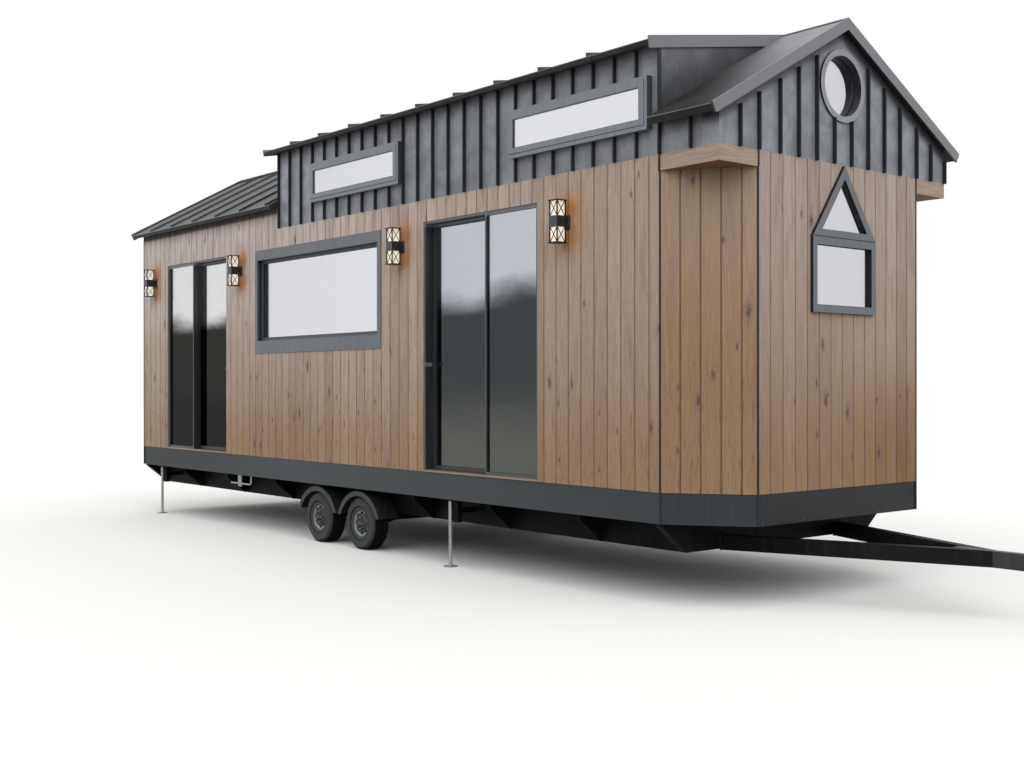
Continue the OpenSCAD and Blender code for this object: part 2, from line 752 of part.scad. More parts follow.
// The head and the foot straddle the track ribs, clear of them all round
module sliding_leaf(x) {
    color("dimgray") sliding_place(x) difference() {
        leaf_frame(leaf_w, leaf_h, leaf_faces, leaf_t);
        for (z = [-1, leaf_h + 1 - track_slot[1]])
            translate([-cut, (leaf_t - track_slot[0]) / 2, z])
                cube([leaf_w + 2 * cut, track_slot[0], track_slot[1]]);
    }
}
module sliding_glass(x) {
    color("lightblue") sliding_place(x) leaf_glass(leaf_w, leaf_h, leaf_faces, leaf_t);
}

// Wall lanterns: two glazed cages above and below a solid middle on a wall plate
module lantern_places() {
    for (x = [front_door_x, rear_door_x], beside = [-lamp_beside, door_w + lamp_beside])
        translate([-x - beside, -lamp_y, lamp_z]) children();
}
module lantern_frames() {
    s = lamp_s / 2;
    rim = 5;
    wall_in = lamp_y - half_w;
    color("black") lantern_places() {
        block([-s, -s, -lamp_mid / 2], [s, s, lamp_mid / 2]);
        for (z = [-lamp_h / 2, lamp_h / 2 - lamp_cap])
            block([-s - rim, -s - rim, z], [s + rim, s + rim, z + lamp_cap]);
        for (a = [0 : 90 : 270]) rotate([0, 0, a])
            block([s - lamp_post, s - lamp_post, -lamp_h / 2], [s, s, lamp_h / 2]);
        block([-25, s, -32], [25, wall_in - lamp_plate, 32]);
        block([-s, wall_in - lamp_plate, -52], [s, wall_in, 46]);
    }
}
module lantern_glass() {
    s = lamp_s / 2 - lamp_post;
    glass_h = lamp_h / 2 - lamp_mid / 2 - lamp_cap;
    color("ivory") lantern_places() for (z = [lamp_mid / 2, -lamp_h / 2 + lamp_cap])
        block([-s, -s, z], [s, s, z + glass_h]);
}

place() chassis_rails();
place() cross_members();
place() end_beams();
place() drawbar();
place() coupling_head();
place() axles();
place() tyre(axle_x[0], -1);  // tyre_front_right
place() rim(axle_x[0], -1);  // rim_front_right
place() tyre(axle_x[1], -1);  // tyre_rear_right
place() rim(axle_x[1], -1);  // rim_rear_right
place() tyre(axle_x[0], 1);  // tyre_front_left
place() rim(axle_x[0], 1);  // rim_front_left
place() tyre(axle_x[1], 1);  // tyre_rear_left
place() rim(axle_x[1], 1);  // rim_rear_left
place() mudguards();
place() corner_props();
place() prop_brackets();
place() side_bar();
place() floor();
place() side_skirts();
place() end_skirts();
place() door_side_wall();
place() door_heads();
place() plain_side_wall();
place() front_wall();
place() corner_walls();
place() corner_boxes();
place() rear_wall();
place() rear_gable();
place() gable_wall();
place() upper_side_walls();
place() dormer_cheeks();
place() loft_floor();
place() front_roof();
place() dormer_roof();
place() rear_roof();
place() ridge_caps();
place() verge_boards();
place() corner_strips();
place() big_window_frames();
place() dormer_window_frames();
place() pointed_window_frame();
place() round_window_frame();
place() window_glass();
place() door_frames();
place() fixed_leaves();
place() sliding_leaf(front_door_x);  // front_sliding_leaf
place() sliding_glass(front_door_x);  // front_sliding_glass
place() sliding_leaf(rear_door_x);  // rear_sliding_leaf
place() sliding_glass(rear_door_x);  // rear_sliding_glass
place() lantern_frames();
place() lantern_glass();
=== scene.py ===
import math
import bmesh
import bpy
from mathutils import Euler, Matrix, Vector


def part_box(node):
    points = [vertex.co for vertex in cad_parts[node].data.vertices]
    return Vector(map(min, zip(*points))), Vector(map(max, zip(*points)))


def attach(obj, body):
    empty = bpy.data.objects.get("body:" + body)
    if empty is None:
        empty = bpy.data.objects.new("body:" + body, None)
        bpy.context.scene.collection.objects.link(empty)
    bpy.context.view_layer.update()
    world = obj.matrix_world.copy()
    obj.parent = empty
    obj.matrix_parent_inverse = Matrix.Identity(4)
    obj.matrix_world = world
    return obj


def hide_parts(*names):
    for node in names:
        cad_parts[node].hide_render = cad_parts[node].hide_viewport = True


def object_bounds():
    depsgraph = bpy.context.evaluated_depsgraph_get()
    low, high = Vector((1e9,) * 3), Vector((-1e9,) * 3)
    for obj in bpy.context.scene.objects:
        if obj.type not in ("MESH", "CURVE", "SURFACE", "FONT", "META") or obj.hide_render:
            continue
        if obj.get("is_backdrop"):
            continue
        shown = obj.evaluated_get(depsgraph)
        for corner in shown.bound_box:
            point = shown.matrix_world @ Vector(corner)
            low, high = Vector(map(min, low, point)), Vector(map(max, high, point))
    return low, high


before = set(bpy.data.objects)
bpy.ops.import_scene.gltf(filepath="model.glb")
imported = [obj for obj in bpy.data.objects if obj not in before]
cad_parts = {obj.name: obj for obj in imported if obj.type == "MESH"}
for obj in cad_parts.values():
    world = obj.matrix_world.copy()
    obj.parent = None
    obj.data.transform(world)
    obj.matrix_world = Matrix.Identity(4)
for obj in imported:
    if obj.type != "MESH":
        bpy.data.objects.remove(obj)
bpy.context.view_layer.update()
# Lengths are in metres from the house's own corner: X 0 is the front wall's face, Y 0 the middle
# and Z 0 the skirt's lower edge. home is where the frame has that corner.
home = Vector((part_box("front_wall")[1].x, 0.0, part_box("floor")[0].z))

# Stage and camera
# A pale studio floor under soft light from above, and the camera at the height and angle of
# someone who stands off the front right-hand corner. None of it belongs to the house.


def plain(r, g, b):
    """A colour given as on a paint card, 0 to 255, in linear values."""
    return tuple((c / 255 / 12.92 if c < 11 else ((c / 255 + 0.055) / 1.055) ** 2.4)
                 for c in (r, g, b)) + (1.0,)


def begin(new_tree):
    """Takes a tree in hand: every helper adds its nodes to the tree begun last."""
    global tree
    tree = new_tree
    return tree


def linear(colour):
    """A colour for a node: one of three whole numbers is a paint card's."""
    return plain(*colour) if isinstance(colour, tuple) and len(colour) == 3 else colour


def add(kind, values=None, **settings):
    """Adds one node. Values are its inputs by name or number, each a plain value or a socket."""
    node = tree.nodes.new(kind)
    for key, value in settings.items():
        setattr(node, key, value)
    for key, value in (values or {}).items():
        if isinstance(value, bpy.types.NodeSocket):
            tree.links.new(value, node.inputs[key])
        else:
            node.inputs[key].default_value = value
    return node


def put(kind, values=None, **settings):
    """Adds one node and gives its first output."""
    return add(kind, values, **settings).outputs[0]


def calc(operation, *values, clamp=False):
    """A Math node's result."""
    return put("ShaderNodeMath", dict(enumerate(values)), operation=operation, use_clamp=clamp)


def mixed(share, first, second, way="MIX"):
    """Two colours mixed, by a share of the second."""
    return add("ShaderNodeMix", {0: share, 6: linear(first), 7: linear(second)}, data_type="RGBA",
               blend_type=way).outputs[2]


def between(share, first, second):
    """Two numbers mixed, by a share of the second."""
    return put("ShaderNodeMix", {0: share, 2: first, 3: second}, data_type="FLOAT")


def seen():
    """1 for what the camera sees, be it directly, mirrored or through glass."""
    path = tree.nodes.new("ShaderNodeLightPath").outputs
    return calc("MAXIMUM", path["Is Camera Ray"],
                calc("MAXIMUM", path["Is Glossy Ray"], path["Is Transmission Ray"]))


def scene_object(name, data):
    """Links a new object at the origin."""
    obj = bpy.data.objects.new(name, data)
    bpy.context.scene.collection.objects.link(obj)
    return obj


def shade(name, roughness=0.5, metallic=0.0, gloss=0.5):
    """Begins a material: itself and its shader's inputs."""
    material = bpy.data.materials.new(name)
    material.use_nodes = True
    inputs = begin(material.node_tree).nodes["Principled BSDF"].inputs
    inputs["Roughness"].default_value = roughness
    inputs["Metallic"].default_value = metallic
    inputs["Specular IOR Level"].default_value = gloss
    return material, inputs


eye = scene_object("eye", bpy.data.cameras.new("eye"))
eye.location = home + Vector((5.0872, -7.1221, 0.9024))
eye.rotation_euler = (math.radians(90.03), math.radians(0.03), math.radians(50.344))
eye.data.lens = 43.87
eye.data.sensor_width = 36.0
bpy.context.scene.camera = eye
bpy.context.scene.view_settings.view_transform = "Standard"

SKY_FILL, SKY_SEEN = 0.92, 1.0
world = bpy.data.worlds.new("studio")
bpy.context.scene.world = world
world.use_nodes = True
sky = begin(world.node_tree).nodes["Background"].inputs
sky["Color"].default_value = (1, 1, 1, 1)
tree.links.new(between(seen(), SKY_FILL, SKY_SEEN), sky["Strength"])
for label, strength, spread, turn in (("key", 1.15, 75, (38, 0, 28)), ("fill", 0.55, 90, (48, 0, 82))):
    lamp = bpy.data.lights.new(label, "SUN")
    lamp.energy = strength
    lamp.angle = math.radians(spread)
    scene_object(label, lamp).rotation_euler = [math.radians(a) for a in turn]

GROUND = 60
ground_look, inputs = shade("studio_floor", 0.9, gloss=0.0)
tree.links.new(mixed(seen(), (104, 104, 102), (232, 232, 230)), inputs["Base Color"])
ground_mesh = bpy.data.meshes.new("studio_floor")
ground_mesh.from_pydata([(-GROUND, -GROUND, 0), (GROUND, -GROUND, 0), (GROUND, GROUND, 0),
                         (-GROUND, GROUND, 0)], [], [(0, 1, 2, 3)])
ground_mesh.materials.append(ground_look)
scene_object("studio_floor", ground_mesh)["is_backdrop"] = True

# Chassis
# Two steel channels with cross members, outriggers and end beams, welded and painted
# semi-matt black, with road dust on the low faces.


def product(first, *others):
    """Numbers multiplied together."""
    for other in others:
        first = calc("MULTIPLY", first, other)
    return first


def scaled(colour, tone):
    """A colour made lighter or darker."""
    return put("ShaderNodeVectorMath", {0: colour, "Scale": tone}, operation="SCALE")


def effect(name, inputs, outputs):
    """Begins a shader node group: its tree, the sockets that come in and those that go out."""
    begin(bpy.data.node_groups.new(name, "ShaderNodeTree"))
    for label, value in inputs.items():
        kind = "Color" if isinstance(value, tuple) else "Float"
        tree.interface.new_socket(label, in_out="INPUT",
                                  socket_type="NodeSocket" + kind).default_value = value
    for label in outputs:
        kind = "Color" if label == "Colour" else "Float"
        tree.interface.new_socket(label, in_out="OUTPUT", socket_type="NodeSocket" + kind)
    return tree, tree.nodes.new("NodeGroupInput").outputs, tree.nodes.new("NodeGroupOutput").inputs


def axes(vector):
    """The X, Y and Z of a vector."""
    return add("ShaderNodeSeparateXYZ", {0: vector}).outputs


def spot(stretch=(1, 1, 1)):
    """Where a point is on the house, stretched along each axis."""
    place = tree.nodes.new("ShaderNodeTexCoord").outputs["Object"]
    place = put("ShaderNodeVectorMath", {0: place, 1: home}, operation="SUBTRACT")
    return put("ShaderNodeVectorMath", {0: place, 1: stretch}, operation="MULTIPLY")


def here():
    """The X, Y and Z of a point on the house."""
    return axes(spot())


def cloud(vector, scale, detail=3.0, roughness=0.55, distortion=0.0):
    """Noise from 0 to 1."""
    return put("ShaderNodeTexNoise", {
        "Vector": vector, "Scale": scale, "Detail": detail, "Roughness": roughness,
        "Distortion": distortion})


def fade(value, start, end, low=0.0, high=1.0):
    """A value carried smoothly from start to end over to low and high."""
    return put("ShaderNodeMapRange", {
        "Value": value, "From Min": start, "From Max": end, "To Min": low, "To Max": high},
        interpolation_type="SMOOTHSTEP")


def wear(group, inputs, bump=0.0, **values):
    """Places an effect in a material and feeds its colour, roughness and relief to the shader."""
    node = add("ShaderNodeGroup", node_tree=group)
    for label, value in values.items():
        socket = node.inputs[label.replace("_", " ")]
        if isinstance(value, bpy.types.NodeSocket):
            tree.links.new(value, socket)
        else:
            socket.default_value = linear(value)
    tree.links.new(node.outputs["Colour"], inputs["Base Color"])
    tree.links.new(node.outputs["Roughness"], inputs["Roughness"])
    if bump:
        tree.links.new(put("ShaderNodeBump", {"Height": node.outputs["Height"], "Distance": bump}),
                       inputs["Normal"])
    return node.outputs


# Paint with a fine orange peel, clouded by weather, streaked by rain and dusty near the ground
weather, given, result = effect("weathering", {
    "Colour": plain(40, 42, 46), "Dust colour": plain(112, 109, 103), "Dust": 0.2, "Reach": 0.6,
    "Streaks": 0.1, "Clouds": 0.12, "Shine": 0.5, "Grain": 260.0}, ["Colour", "Roughness", "Height"])
place = spot()
patches = cloud(place, 2.3, 5.0, 0.6)
streaks = cloud(spot((26, 26, 1.1)), 1.0, 3.0)
grain = cloud(place, given["Grain"], 2.0)
height = axes(weather.nodes.new("ShaderNodeTexCoord").outputs["Object"])["Z"]
low = calc("SUBTRACT", 1.0, calc("DIVIDE", height, given["Reach"]), clamp=True)
dusty = product(calc("MULTIPLY_ADD", low, 1.4, 0.35), fade(patches, 0.25, 0.75, 0.4, 1.6), given["Dust"])
dusty = calc("MULTIPLY_ADD", given["Streaks"], fade(streaks, 0.45, 0.8), dusty, clamp=True)
tone = calc("MULTIPLY_ADD", calc("SUBTRACT", patches, 0.5), given["Clouds"], 1.0)
tone = product(tone, fade(grain, 0.3, 0.7, 0.96, 1.04))
dulled = mixed(dusty, given["Colour"], given["Dust colour"])
weather.links.new(scaled(dulled, tone), result["Colour"])
weather.links.new(calc("MULTIPLY_ADD", dusty, 0.4, given["Shine"], clamp=True), result["Roughness"])
weather.links.new(calc("ADD", grain, product(patches, 2.0)), result["Height"])


def finish(name, colour, bump=0.0, gloss=0.5, metallic=0.0, **values):
    """A material of one weathered colour."""
    look, inputs = shade(name, metallic=metallic, gloss=gloss)
    wear(weather, inputs, bump, Colour=colour, **values)
    return look


def coat(material, *nodes):
    """Gives CAD nodes a material."""
    for name in nodes:
        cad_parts[name].data.materials.clear()
        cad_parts[name].data.materials.append(material)


def shape_tree(name, inputs):
    """Begins a geometry tree with named inputs and a material: the tree and what comes in."""
    begin(bpy.data.node_groups.new(name, "GeometryNodeTree"))
    tree.interface.new_socket("Geometry", in_out="OUTPUT", socket_type="NodeSocketGeometry")
    for label, kind in list(inputs.items()) + [("Material", "Material")]:
        tree.interface.new_socket(label, in_out="INPUT", socket_type="NodeSocket" + kind)
    return tree, tree.nodes.new("NodeGroupInput").outputs


def end_tree(geometry, material):
    """Every tree ends in real geometry with its material set."""
    solid = put("GeometryNodeRealizeInstances", {0: geometry})
    tree.links.new(put("GeometryNodeSetMaterial", {"Geometry": solid, "Material": material}),
                   tree.nodes.new("NodeGroupOutput").inputs[0])


def held(item):
    """The geometry of an object that comes in."""
    return add("GeometryNodeObjectInfo", {"Object": item}).outputs["Geometry"]


def grow(name, tree, body, slot, material, **values):
    """Runs a tree and keeps what it makes as a plain mesh that rides on a body."""
    obj = scene_object(name, bpy.data.meshes.new(name))
    run = obj.modifiers.new("grow", "NODES")
    run.node_group = tree
    values["Material"] = material
    for item in tree.interface.items_tree:
        value = values.get(item.name.replace(" ", "_"))
        if item.in_out == "INPUT" and value is not None:
            run[item.identifier] = value
    made = bpy.data.meshes.new_from_object(obj.evaluated_get(bpy.context.evaluated_depsgraph_get()))
    obj.modifiers.remove(run)
    obj.data = made
    made.name = name
    for value in values.values():
        if isinstance(value, bpy.types.Object) and not value.hide_render:
            bpy.data.objects.remove(value)
    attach(obj, body)
    return obj


def at(x, y, z):
    """A point of the house in the frame."""
    return home + Vector((x, y, z))


# A round bead along a path: welds, gaskets, drip edges, rolled rims
bead, given = shape_tree("bead", {"Path": "Object", "Radius": "Float", "Sides": "Int"})
route = put("GeometryNodeMeshToCurve", {0: held(given["Path"])})
ring = put("GeometryNodeCurvePrimitiveCircle", {"Resolution": given["Sides"], "Radius": given["Radius"]})
end_tree(put("GeometryNodeCurveToMesh", {"Curve": route, "Profile Curve": ring, "Fill Caps": True}),
         given["Material"])


def lay_bead(name, slot, material, radius, *lines, closed=False, sides=6, body="house"):
    """A bead along lines of house points."""
    mesh = bpy.data.meshes.new(name + "_path")
    points, edges = [], []
    for line in lines:
        first = len(points)
        points += [at(*p) for p in line]
        edges += [(i, i + 1) for i in range(first, len(points) - 1)]
        if closed:
            edges.append((len(points) - 1, first))
    mesh.from_pydata(points, edges, [])
    return grow(name, bead, body, slot, material, Path=scene_object(name + "_path", mesh),
                Radius=radius, Sides=sides)


chassis_look, inputs = shade("chassis_paint", gloss=0.05)
# Painted shade: the chassis under the house is near-black, lighter where the drawbar runs out in front
ahead = fade(here()["X"], -0.1, 0.5)
wear(weather, inputs, 0.0004, Colour=mixed(ahead, (12, 13, 13), (24, 27, 30)),
     Dust_colour=(84, 82, 78), Dust=0.02, Reach=0.7, Shine=0.5)
coat(chassis_look, "chassis_rails", "cross_members", "end_beams", "drawbar", "axles", "prop_brackets")
weld_look = finish("weld_bead", (24, 25, 27), 0.002, 0.15, Dust=0.05, Shine=0.45, Grain=900.0)
BAR_TIP, BAR_SLOPE, BAR_ACROSS = 1.185, 0.397, 0.0753
BAR_ROOT, BAR_TOP, BAR_UNDER = -0.499, -0.112, -0.212
weld_loops = []
for side in (-1, 1):
    outer = side * (BAR_TIP + 0.5) * BAR_SLOPE
    inner = outer - side * BAR_ACROSS
    weld_loops.append([(BAR_ROOT, outer, BAR_TOP), (BAR_ROOT, inner, BAR_TOP),
                       (BAR_ROOT, inner, BAR_UNDER), (BAR_ROOT, outer, BAR_UNDER)])
lay_bead("drawbar_welds", "chassis_paint", weld_look, 0.005, *weld_loops, closed=True)

# Coupling
# A pressed steel ball coupling on the end of the drawbar, painted black and bolted through the
# shank, with bare steel where the ball wears the socket.
coupling_look, inputs = shade("coupling_steel", gloss=0.2)
worn = product(fade(here()["X"], 1.44, 1.52), fade(cloud(spot(), 30.0, 4.0), 0.45, 0.62))
wear(weather, inputs, 0.0004, Colour=mixed(worn, (46, 47, 50), (150, 150, 148)), Dust=0.15, Shine=0.42)
tree.links.new(product(worn, 0.8), inputs["Metallic"])
coat(coupling_look, "coupling_head")


def turned(name, profile, steps):
    """A closed mesh turned about Y, from a profile of radius and Y."""
    mesh = bpy.data.meshes.new(name)
    work = bmesh.new()
    turns = [math.tau * k / steps for k in range(steps)]
    hoops = [[work.verts.new((r * math.cos(a), y, r * math.sin(a))) for a in turns] for r, y in profile]
    for near, far in zip(hoops, hoops[1:]):
        for k in range(steps):
            work.faces.new((near[k], near[k - 1], far[k - 1], far[k]))
    bmesh.ops.remove_doubles(work, verts=work.verts, dist=1e-6)
    bmesh.ops.recalc_face_normals(work, faces=work.faces)
    work.to_mesh(mesh)
    return mesh


def pattern(mesh):
    """An item that trees repeat; it isn't shown itself."""
    obj = scene_object(mesh.name, mesh)
    obj.hide_viewport = obj.hide_render = True
    return obj


def numbered(given):
    """Each item's number, and the number of its row."""
    index = tree.nodes.new("GeometryNodeInputIndex").outputs[0]
    row = calc("DIVIDE", calc("ADD", index, 0.01), given["Count"])
    return index, calc("FLOOR", row)


def set_out(given, where, turn):
    """The tree's item set out on as many points as it has to have."""
    points = put("GeometryNodePoints", {"Count": product(given["Count"], given["Rows"]), "Position": where})
    return put("GeometryNodeInstanceOnPoints", {
        "Points": points, "Rotation": turn, "Instance": held(given["Item"])})


# Items in straight rows: bolts, screws, peg holes, crossed wires
rows, given = shape_tree("rows", {"Item": "Object", "Start": "Vector", "Step": "Vector", "Count": "Int",
                                  "Row step": "Vector", "Rows": "Int", "Turn": "Rotation"})
index, row = numbered(given)
along = calc("SUBTRACT", index, product(row, given["Count"]))
where = given["Start"]
for vector, times in ((given["Step"], along), (given["Row step"], row)):
    where = put("ShaderNodeVectorMath", {0: where, 1: scaled(vector, times)}, operation="ADD")
end_tree(set_out(given, where, given["Turn"]), given["Material"])


def set_rows(name, slot, material, item, start, step, count, row_step=(0, 0, 0), lines=1,
             turn=(0, 0, 0), body="house"):
    """Rows of an item from their first place, the step in a row and the step between rows."""
    return grow(name, rows, body, slot, material, Item=item, Start=at(*start), Step=Vector(step),
                Count=count, Rows=lines, Row_step=Vector(row_step), Turn=Euler(turn))


bolt_look = finish("bolt_zinc", (128, 128, 124), metallic=0.7, Dust=0.3, Shine=0.4, Grain=700.0)
hex_bolt = pattern(turned("hex_bolt", [(0, -0.009), (0.009, -0.009), (0.011, -0.0075), (0.011, 0),
                                       (0, 0)], 6))
set_rows("coupling_bolts", "coupling_steel", bolt_look, hex_bolt, (1.372, -0.034, -0.162), (0.055, 0, 0), 2)

# Wheels
# Radial tyres on dark painted steel wheels: four rows of tread blocks on the carcass, moulded
# rings on the sidewall, five nuts round the hub cap.
TYRE_R, TYRE_W, AXLE_Z, TYRE_OUT = 0.230, 0.175, -0.305, 1.210
AXLES = {"front": -4.135, "rear": -4.825}
# Each side's name, the sign of its Y and the turn that faces an item out to it
SIDES = (("right", -1, 0.0), ("left", 1, math.pi))


def point(x, y, z):
    """A point or a vector from its three numbers."""
    return put("ShaderNodeCombineXYZ", {0: x, 1: y, 2: z})


# Items in rings about Y, each with its outside towards +X before it is turned into place
rings, given = shape_tree("rings", {"Item": "Object", "Radius": "Float", "Count": "Int",
                                    "Rows": "Int", "Row step": "Float", "Stagger": "Float",
                                    "Start": "Vector", "Turn": "Rotation"})
index, row = numbered(given)
staggered = calc("MULTIPLY_ADD", row, given["Stagger"], index)
angle = product(calc("DIVIDE", staggered, given["Count"]), math.tau)
where = point(product(calc("COSINE", angle), given["Radius"]), product(row, given["Row step"]),
              product(calc("SINE", angle), given["Radius"]))
turn = point(0.0, product(angle, -1.0), 0.0)
end_tree(put("GeometryNodeTransform", {
    "Geometry": set_out(given, where, turn), "Translation": given["Start"], "Rotation": given["Turn"]}),
    given["Material"])


def far_from(value, middle):
    """How far a number is from a middle one."""
    return calc("ABSOLUTE", calc("SUBTRACT", value, middle))


def diagonal(first, second):
    """The length of a line from its two sides."""
    return calc("SQRT", calc("ADD", calc("POWER", first, 2.0), calc("POWER", second, 2.0)))


def from_hub():
    """How far a point is from its wheel's axle."""
    part = here()
    middle, apart = sum(AXLES.values()) / 2, (AXLES["front"] - AXLES["rear"]) / 2
    return diagonal(calc("SUBTRACT", far_from(part["X"], middle), apart),
                    calc("SUBTRACT", part["Z"], AXLE_Z))


rubber_look, inputs = shade("tyre_rubber", gloss=0.15)
# The sidewall next to the rim is near-black, a painted shadow of the rim's lip; the outer flank is lighter
# and dustier
flank = fade(from_hub(), 0.146, 0.158)
wear(weather, inputs, 0.0006, Colour=mixed(flank, (17, 18, 20), (40, 42, 45)),
     Dust_colour=(92, 96, 99), Dust=fade(flank, 0.0, 1.0, 0.05, 0.24), Reach=0.75, Shine=0.6,
     Clouds=0.25, Grain=420.0)
tread_look = finish("tread_rubber", (13, 13, 14), 0.0006, 0.08, Dust_colour=(70, 68, 64),
                    Dust=0.05, Reach=0.6, Shine=0.7, Grain=420.0)
wheel_look, inputs = shade("wheel_paint", gloss=0.3)
# A light disc ring between a dark hub and a dark rim well; the rim well's dark is partly painted shadow
# under the lip
away = from_hub()
disc = product(fade(away, 0.088, 0.096), fade(away, 0.114, 0.108))
wear(weather, inputs, 0.0003, Colour=mixed(disc, (40, 43, 46), (138, 142, 146)),
     Dust=0.04, Reach=0.7, Shine=0.36, Clouds=0.3)
coat(wheel_look, *["rim_%s_%s" % (end, side) for end in AXLES for side in ("right", "left")])

# The carcass from the bead seat over the moulded rings to the shoulder, as radius and depth
half = [(0.1290, 0.0172), (0.1352, 0.0140), (0.1356, 0.0085), (0.1400, 0.0070), (0.1440, 0.0035),
        (0.1470, 0.0018), (0.1480, 0.0030), (0.1530, 0.0022), (0.1545, 0.0008), (0.1600, 0.0004),
        (0.1615, 0.0014), (0.1680, 0.0006), (0.1850, 0.0012), (0.1975, 0.0032), (0.1985, 0.0018),
        (0.2040, 0.0036), (0.2050, 0.0056), (0.2140, 0.0105), (0.2190, 0.0180), (0.2215, 0.0240)]
profile = half + [(0.2225, 0.0560)] + [(r, TYRE_W - y) for r, y in reversed(half)]
carcass = turned("tyre", profile + profile[:1], 96)


def block_mesh(name, lo, hi, draft=0.0, skew=0.0):
    """A block whose +X end is narrower by draft and shifted along Y by skew at its far Z."""
    mesh = bpy.data.meshes.new(name)
    work = bmesh.new()
    for v in bmesh.ops.create_cube(work, size=1.0)["verts"]:
        share = [c + 0.5 for c in v.co]
        v.co = [a + (b - a) * t for a, b, t in zip(lo, hi, share)]
        if share[0] > 0.5:
            v.co.y += draft * (0.5 - share[1]) * 2
            v.co.z += draft * (0.5 - share[2]) * 2
        v.co.y += skew * (share[2] - 0.5)
    work.to_mesh(mesh)
    return mesh


tread_block = pattern(block_mesh("tread_block", (-0.002, -0.0145, -0.0115),
                                 (0.0065, 0.0145, 0.0115), 0.0012, 0.008))
wheel_nut = pattern(turned("wheel_nut", [(0, -0.014), (0.006, -0.014), (0.0085, -0.012),
                                         (0.0098, 0), (0, 0)], 6))
nut_look = finish("nut_zinc", (118, 117, 114), metallic=0.6, Dust=0.35, Shine=0.45, Grain=700.0)
for end, x in AXLES.items():
    for side, sign, out in SIDES:
        wheel = "%s_%s" % (end, side)
        body = wheel + "_wheel"
        about = Euler((0, 0, out))
        turn = Matrix.Translation(at(x, sign * TYRE_OUT, AXLE_Z)) @ about.to_matrix().to_4x4()
        mesh = carcass.copy()
        mesh.transform(turn)
        mesh.materials.append(rubber_look)
        mesh.shade_smooth()
        tyre = scene_object("tyre_detail_%s_%s" % (end, side), mesh)
        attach(tyre, body)
        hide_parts("tyre_%s_%s" % (end, side))
        for name, slot, look, item, radius, count, lines, depth, gap in (
                ("tread_", "tyre_rubber", tread_look, tread_block, TYRE_R - 0.0068, 54, 4, 0.0385, 0.0327),
                ("wheel_nuts_", "wheel_paint", nut_look, wheel_nut, 0.050, 5, 1, 0.0105, 0.0)):
            grow(name + wheel, rings, body, slot, look, Item=item, Radius=radius, Count=count,
                 Rows=lines, Stagger=0.5, Start=turn @ Vector((0, depth, 0)), Turn=about, Row_step=gap)

# Mudguards
# Moulded black plastic shells over each wheel, with a rolled outer rim and riveted stays.
GUARD_Z, GUARD_FACE, RIM_R = -0.375, 1.2225, 0.347
guard_look, inputs = shade("mudguard_plastic", gloss=0.2)
# Painted shade: only the outer face is lit grey, the inside and top of each guard are near-black
face = fade(far_from(here()["Y"], 0.0), GUARD_FACE + 0.001, GUARD_FACE + 0.002)
wear(weather, inputs, 0.0008, Colour=mixed(face, (19, 20, 22), (60, 63, 66)), Dust=0.05, Reach=0.6,
     Shine=0.55, Grain=520.0)
coat(guard_look, "mudguards")
rim_look = finish("mudguard_rim", (70, 73, 77), 0.0005, 0.25, Dust=0.08, Shine=0.5)
lay_bead("mudguard_rims", "mudguard_plastic", rim_look, 0.0045, *[
    [(x + RIM_R * math.cos(math.radians(a)), side * GUARD_FACE, GUARD_Z + RIM_R * math.sin(math.radians(a)))
     for a in range(24, 157, 6)] for x in AXLES.values() for side in (-1, 1)], sides=8)

# Corner props
# Galvanised steel tubes that are let down through saddles on the chassis, each with a welded
# foot plate, a row of peg holes and a spring peg.
PROPS, PROP_Y, PROP_R, FOOT_Z = (-2.815, -8.200), 1.205, 0.031, -0.5265
zinc_look, inputs = shade("galvanised_steel", metallic=0.35)
spangle = add("ShaderNodeTexVoronoi", {"Vector": spot(), "Scale": 160.0}).outputs["Color"]
flakes = fade(put("ShaderNodeRGBToBW", {0: spangle}), 0.1, 0.9)
wear(weather, inputs, 0.0002, Colour=mixed(flakes, (150, 152, 151), (196, 198, 196)),
     Dust=0.18, Reach=0.5, Shine=0.42, Streaks=0.15)
coat(zinc_look, "corner_props", "side_bar")
peg_hole_look = finish("peg_hole", (22, 22, 23), Dust=0.1, Shine=0.8)
peg_hole = pattern(turned("peg_hole", [(0, -0.0006), (0.0032, -0.0006), (0.0036, 0.002), (0, 0.002)], 12))
for side, sign, out in SIDES:
    set_rows("peg_holes_" + side, "galvanised_steel", peg_hole_look, peg_hole,
             (PROPS[0], sign * (PROP_Y + 0.0137), -0.46), (0, 0, 0.05), 5,
             (PROPS[1] - PROPS[0], 0, 0), 2, (0, 0, out))
eighths = [k / 8 * math.tau for k in range(8)]
lay_bead("foot_welds", "galvanised_steel", weld_look, 0.0025, *[
    [(x + PROP_R * math.cos(a), side * PROP_Y + PROP_R * math.sin(a), FOOT_Z) for a in eighths]
    for x in PROPS for side in (-1, 1)], closed=True)

# Floor and skirt
# The floor is an oiled board deck on the chassis. Folded steel sheet, powder coated dark grey,
# covers its edge as a skirt, screwed along both edges.


def chance(number):
    """A random value that is the same wherever the number is."""
    return put("ShaderNodeTexWhiteNoise", {"W": number}, noise_dimensions="1D")


PLANK = 0.12
floor_look, inputs = shade("floor_timber", gloss=0.3)
place = calc("DIVIDE", here()["Y"], PLANK)
dice = chance(calc("FLOOR", place))
streak = cloud(spot((1.5, 40, 8)), 1.0, 4.0, 0.6, 0.3)
oak = mixed(calc("MULTIPLY_ADD", dice, 0.35, product(streak, 0.65)), (128, 92, 62), (188, 150, 112))
joint = fade(far_from(calc("FRACT", place), 0.5), 0.485, 0.497)
oak = mixed(joint, oak, (48, 34, 24))
# Painted shade: the deck's lower part, under the house, is near-black
underside_shade = fade(here()["Z"], 0.1, 0.19)
wear(weather, inputs, 0.0006, Colour=mixed(underside_shade, (34, 33, 33), oak), Dust=0.05, Shine=0.45)
coat(floor_look, "floor")
skirt_look, inputs = shade("skirt_metal", gloss=0.18)
part = here()
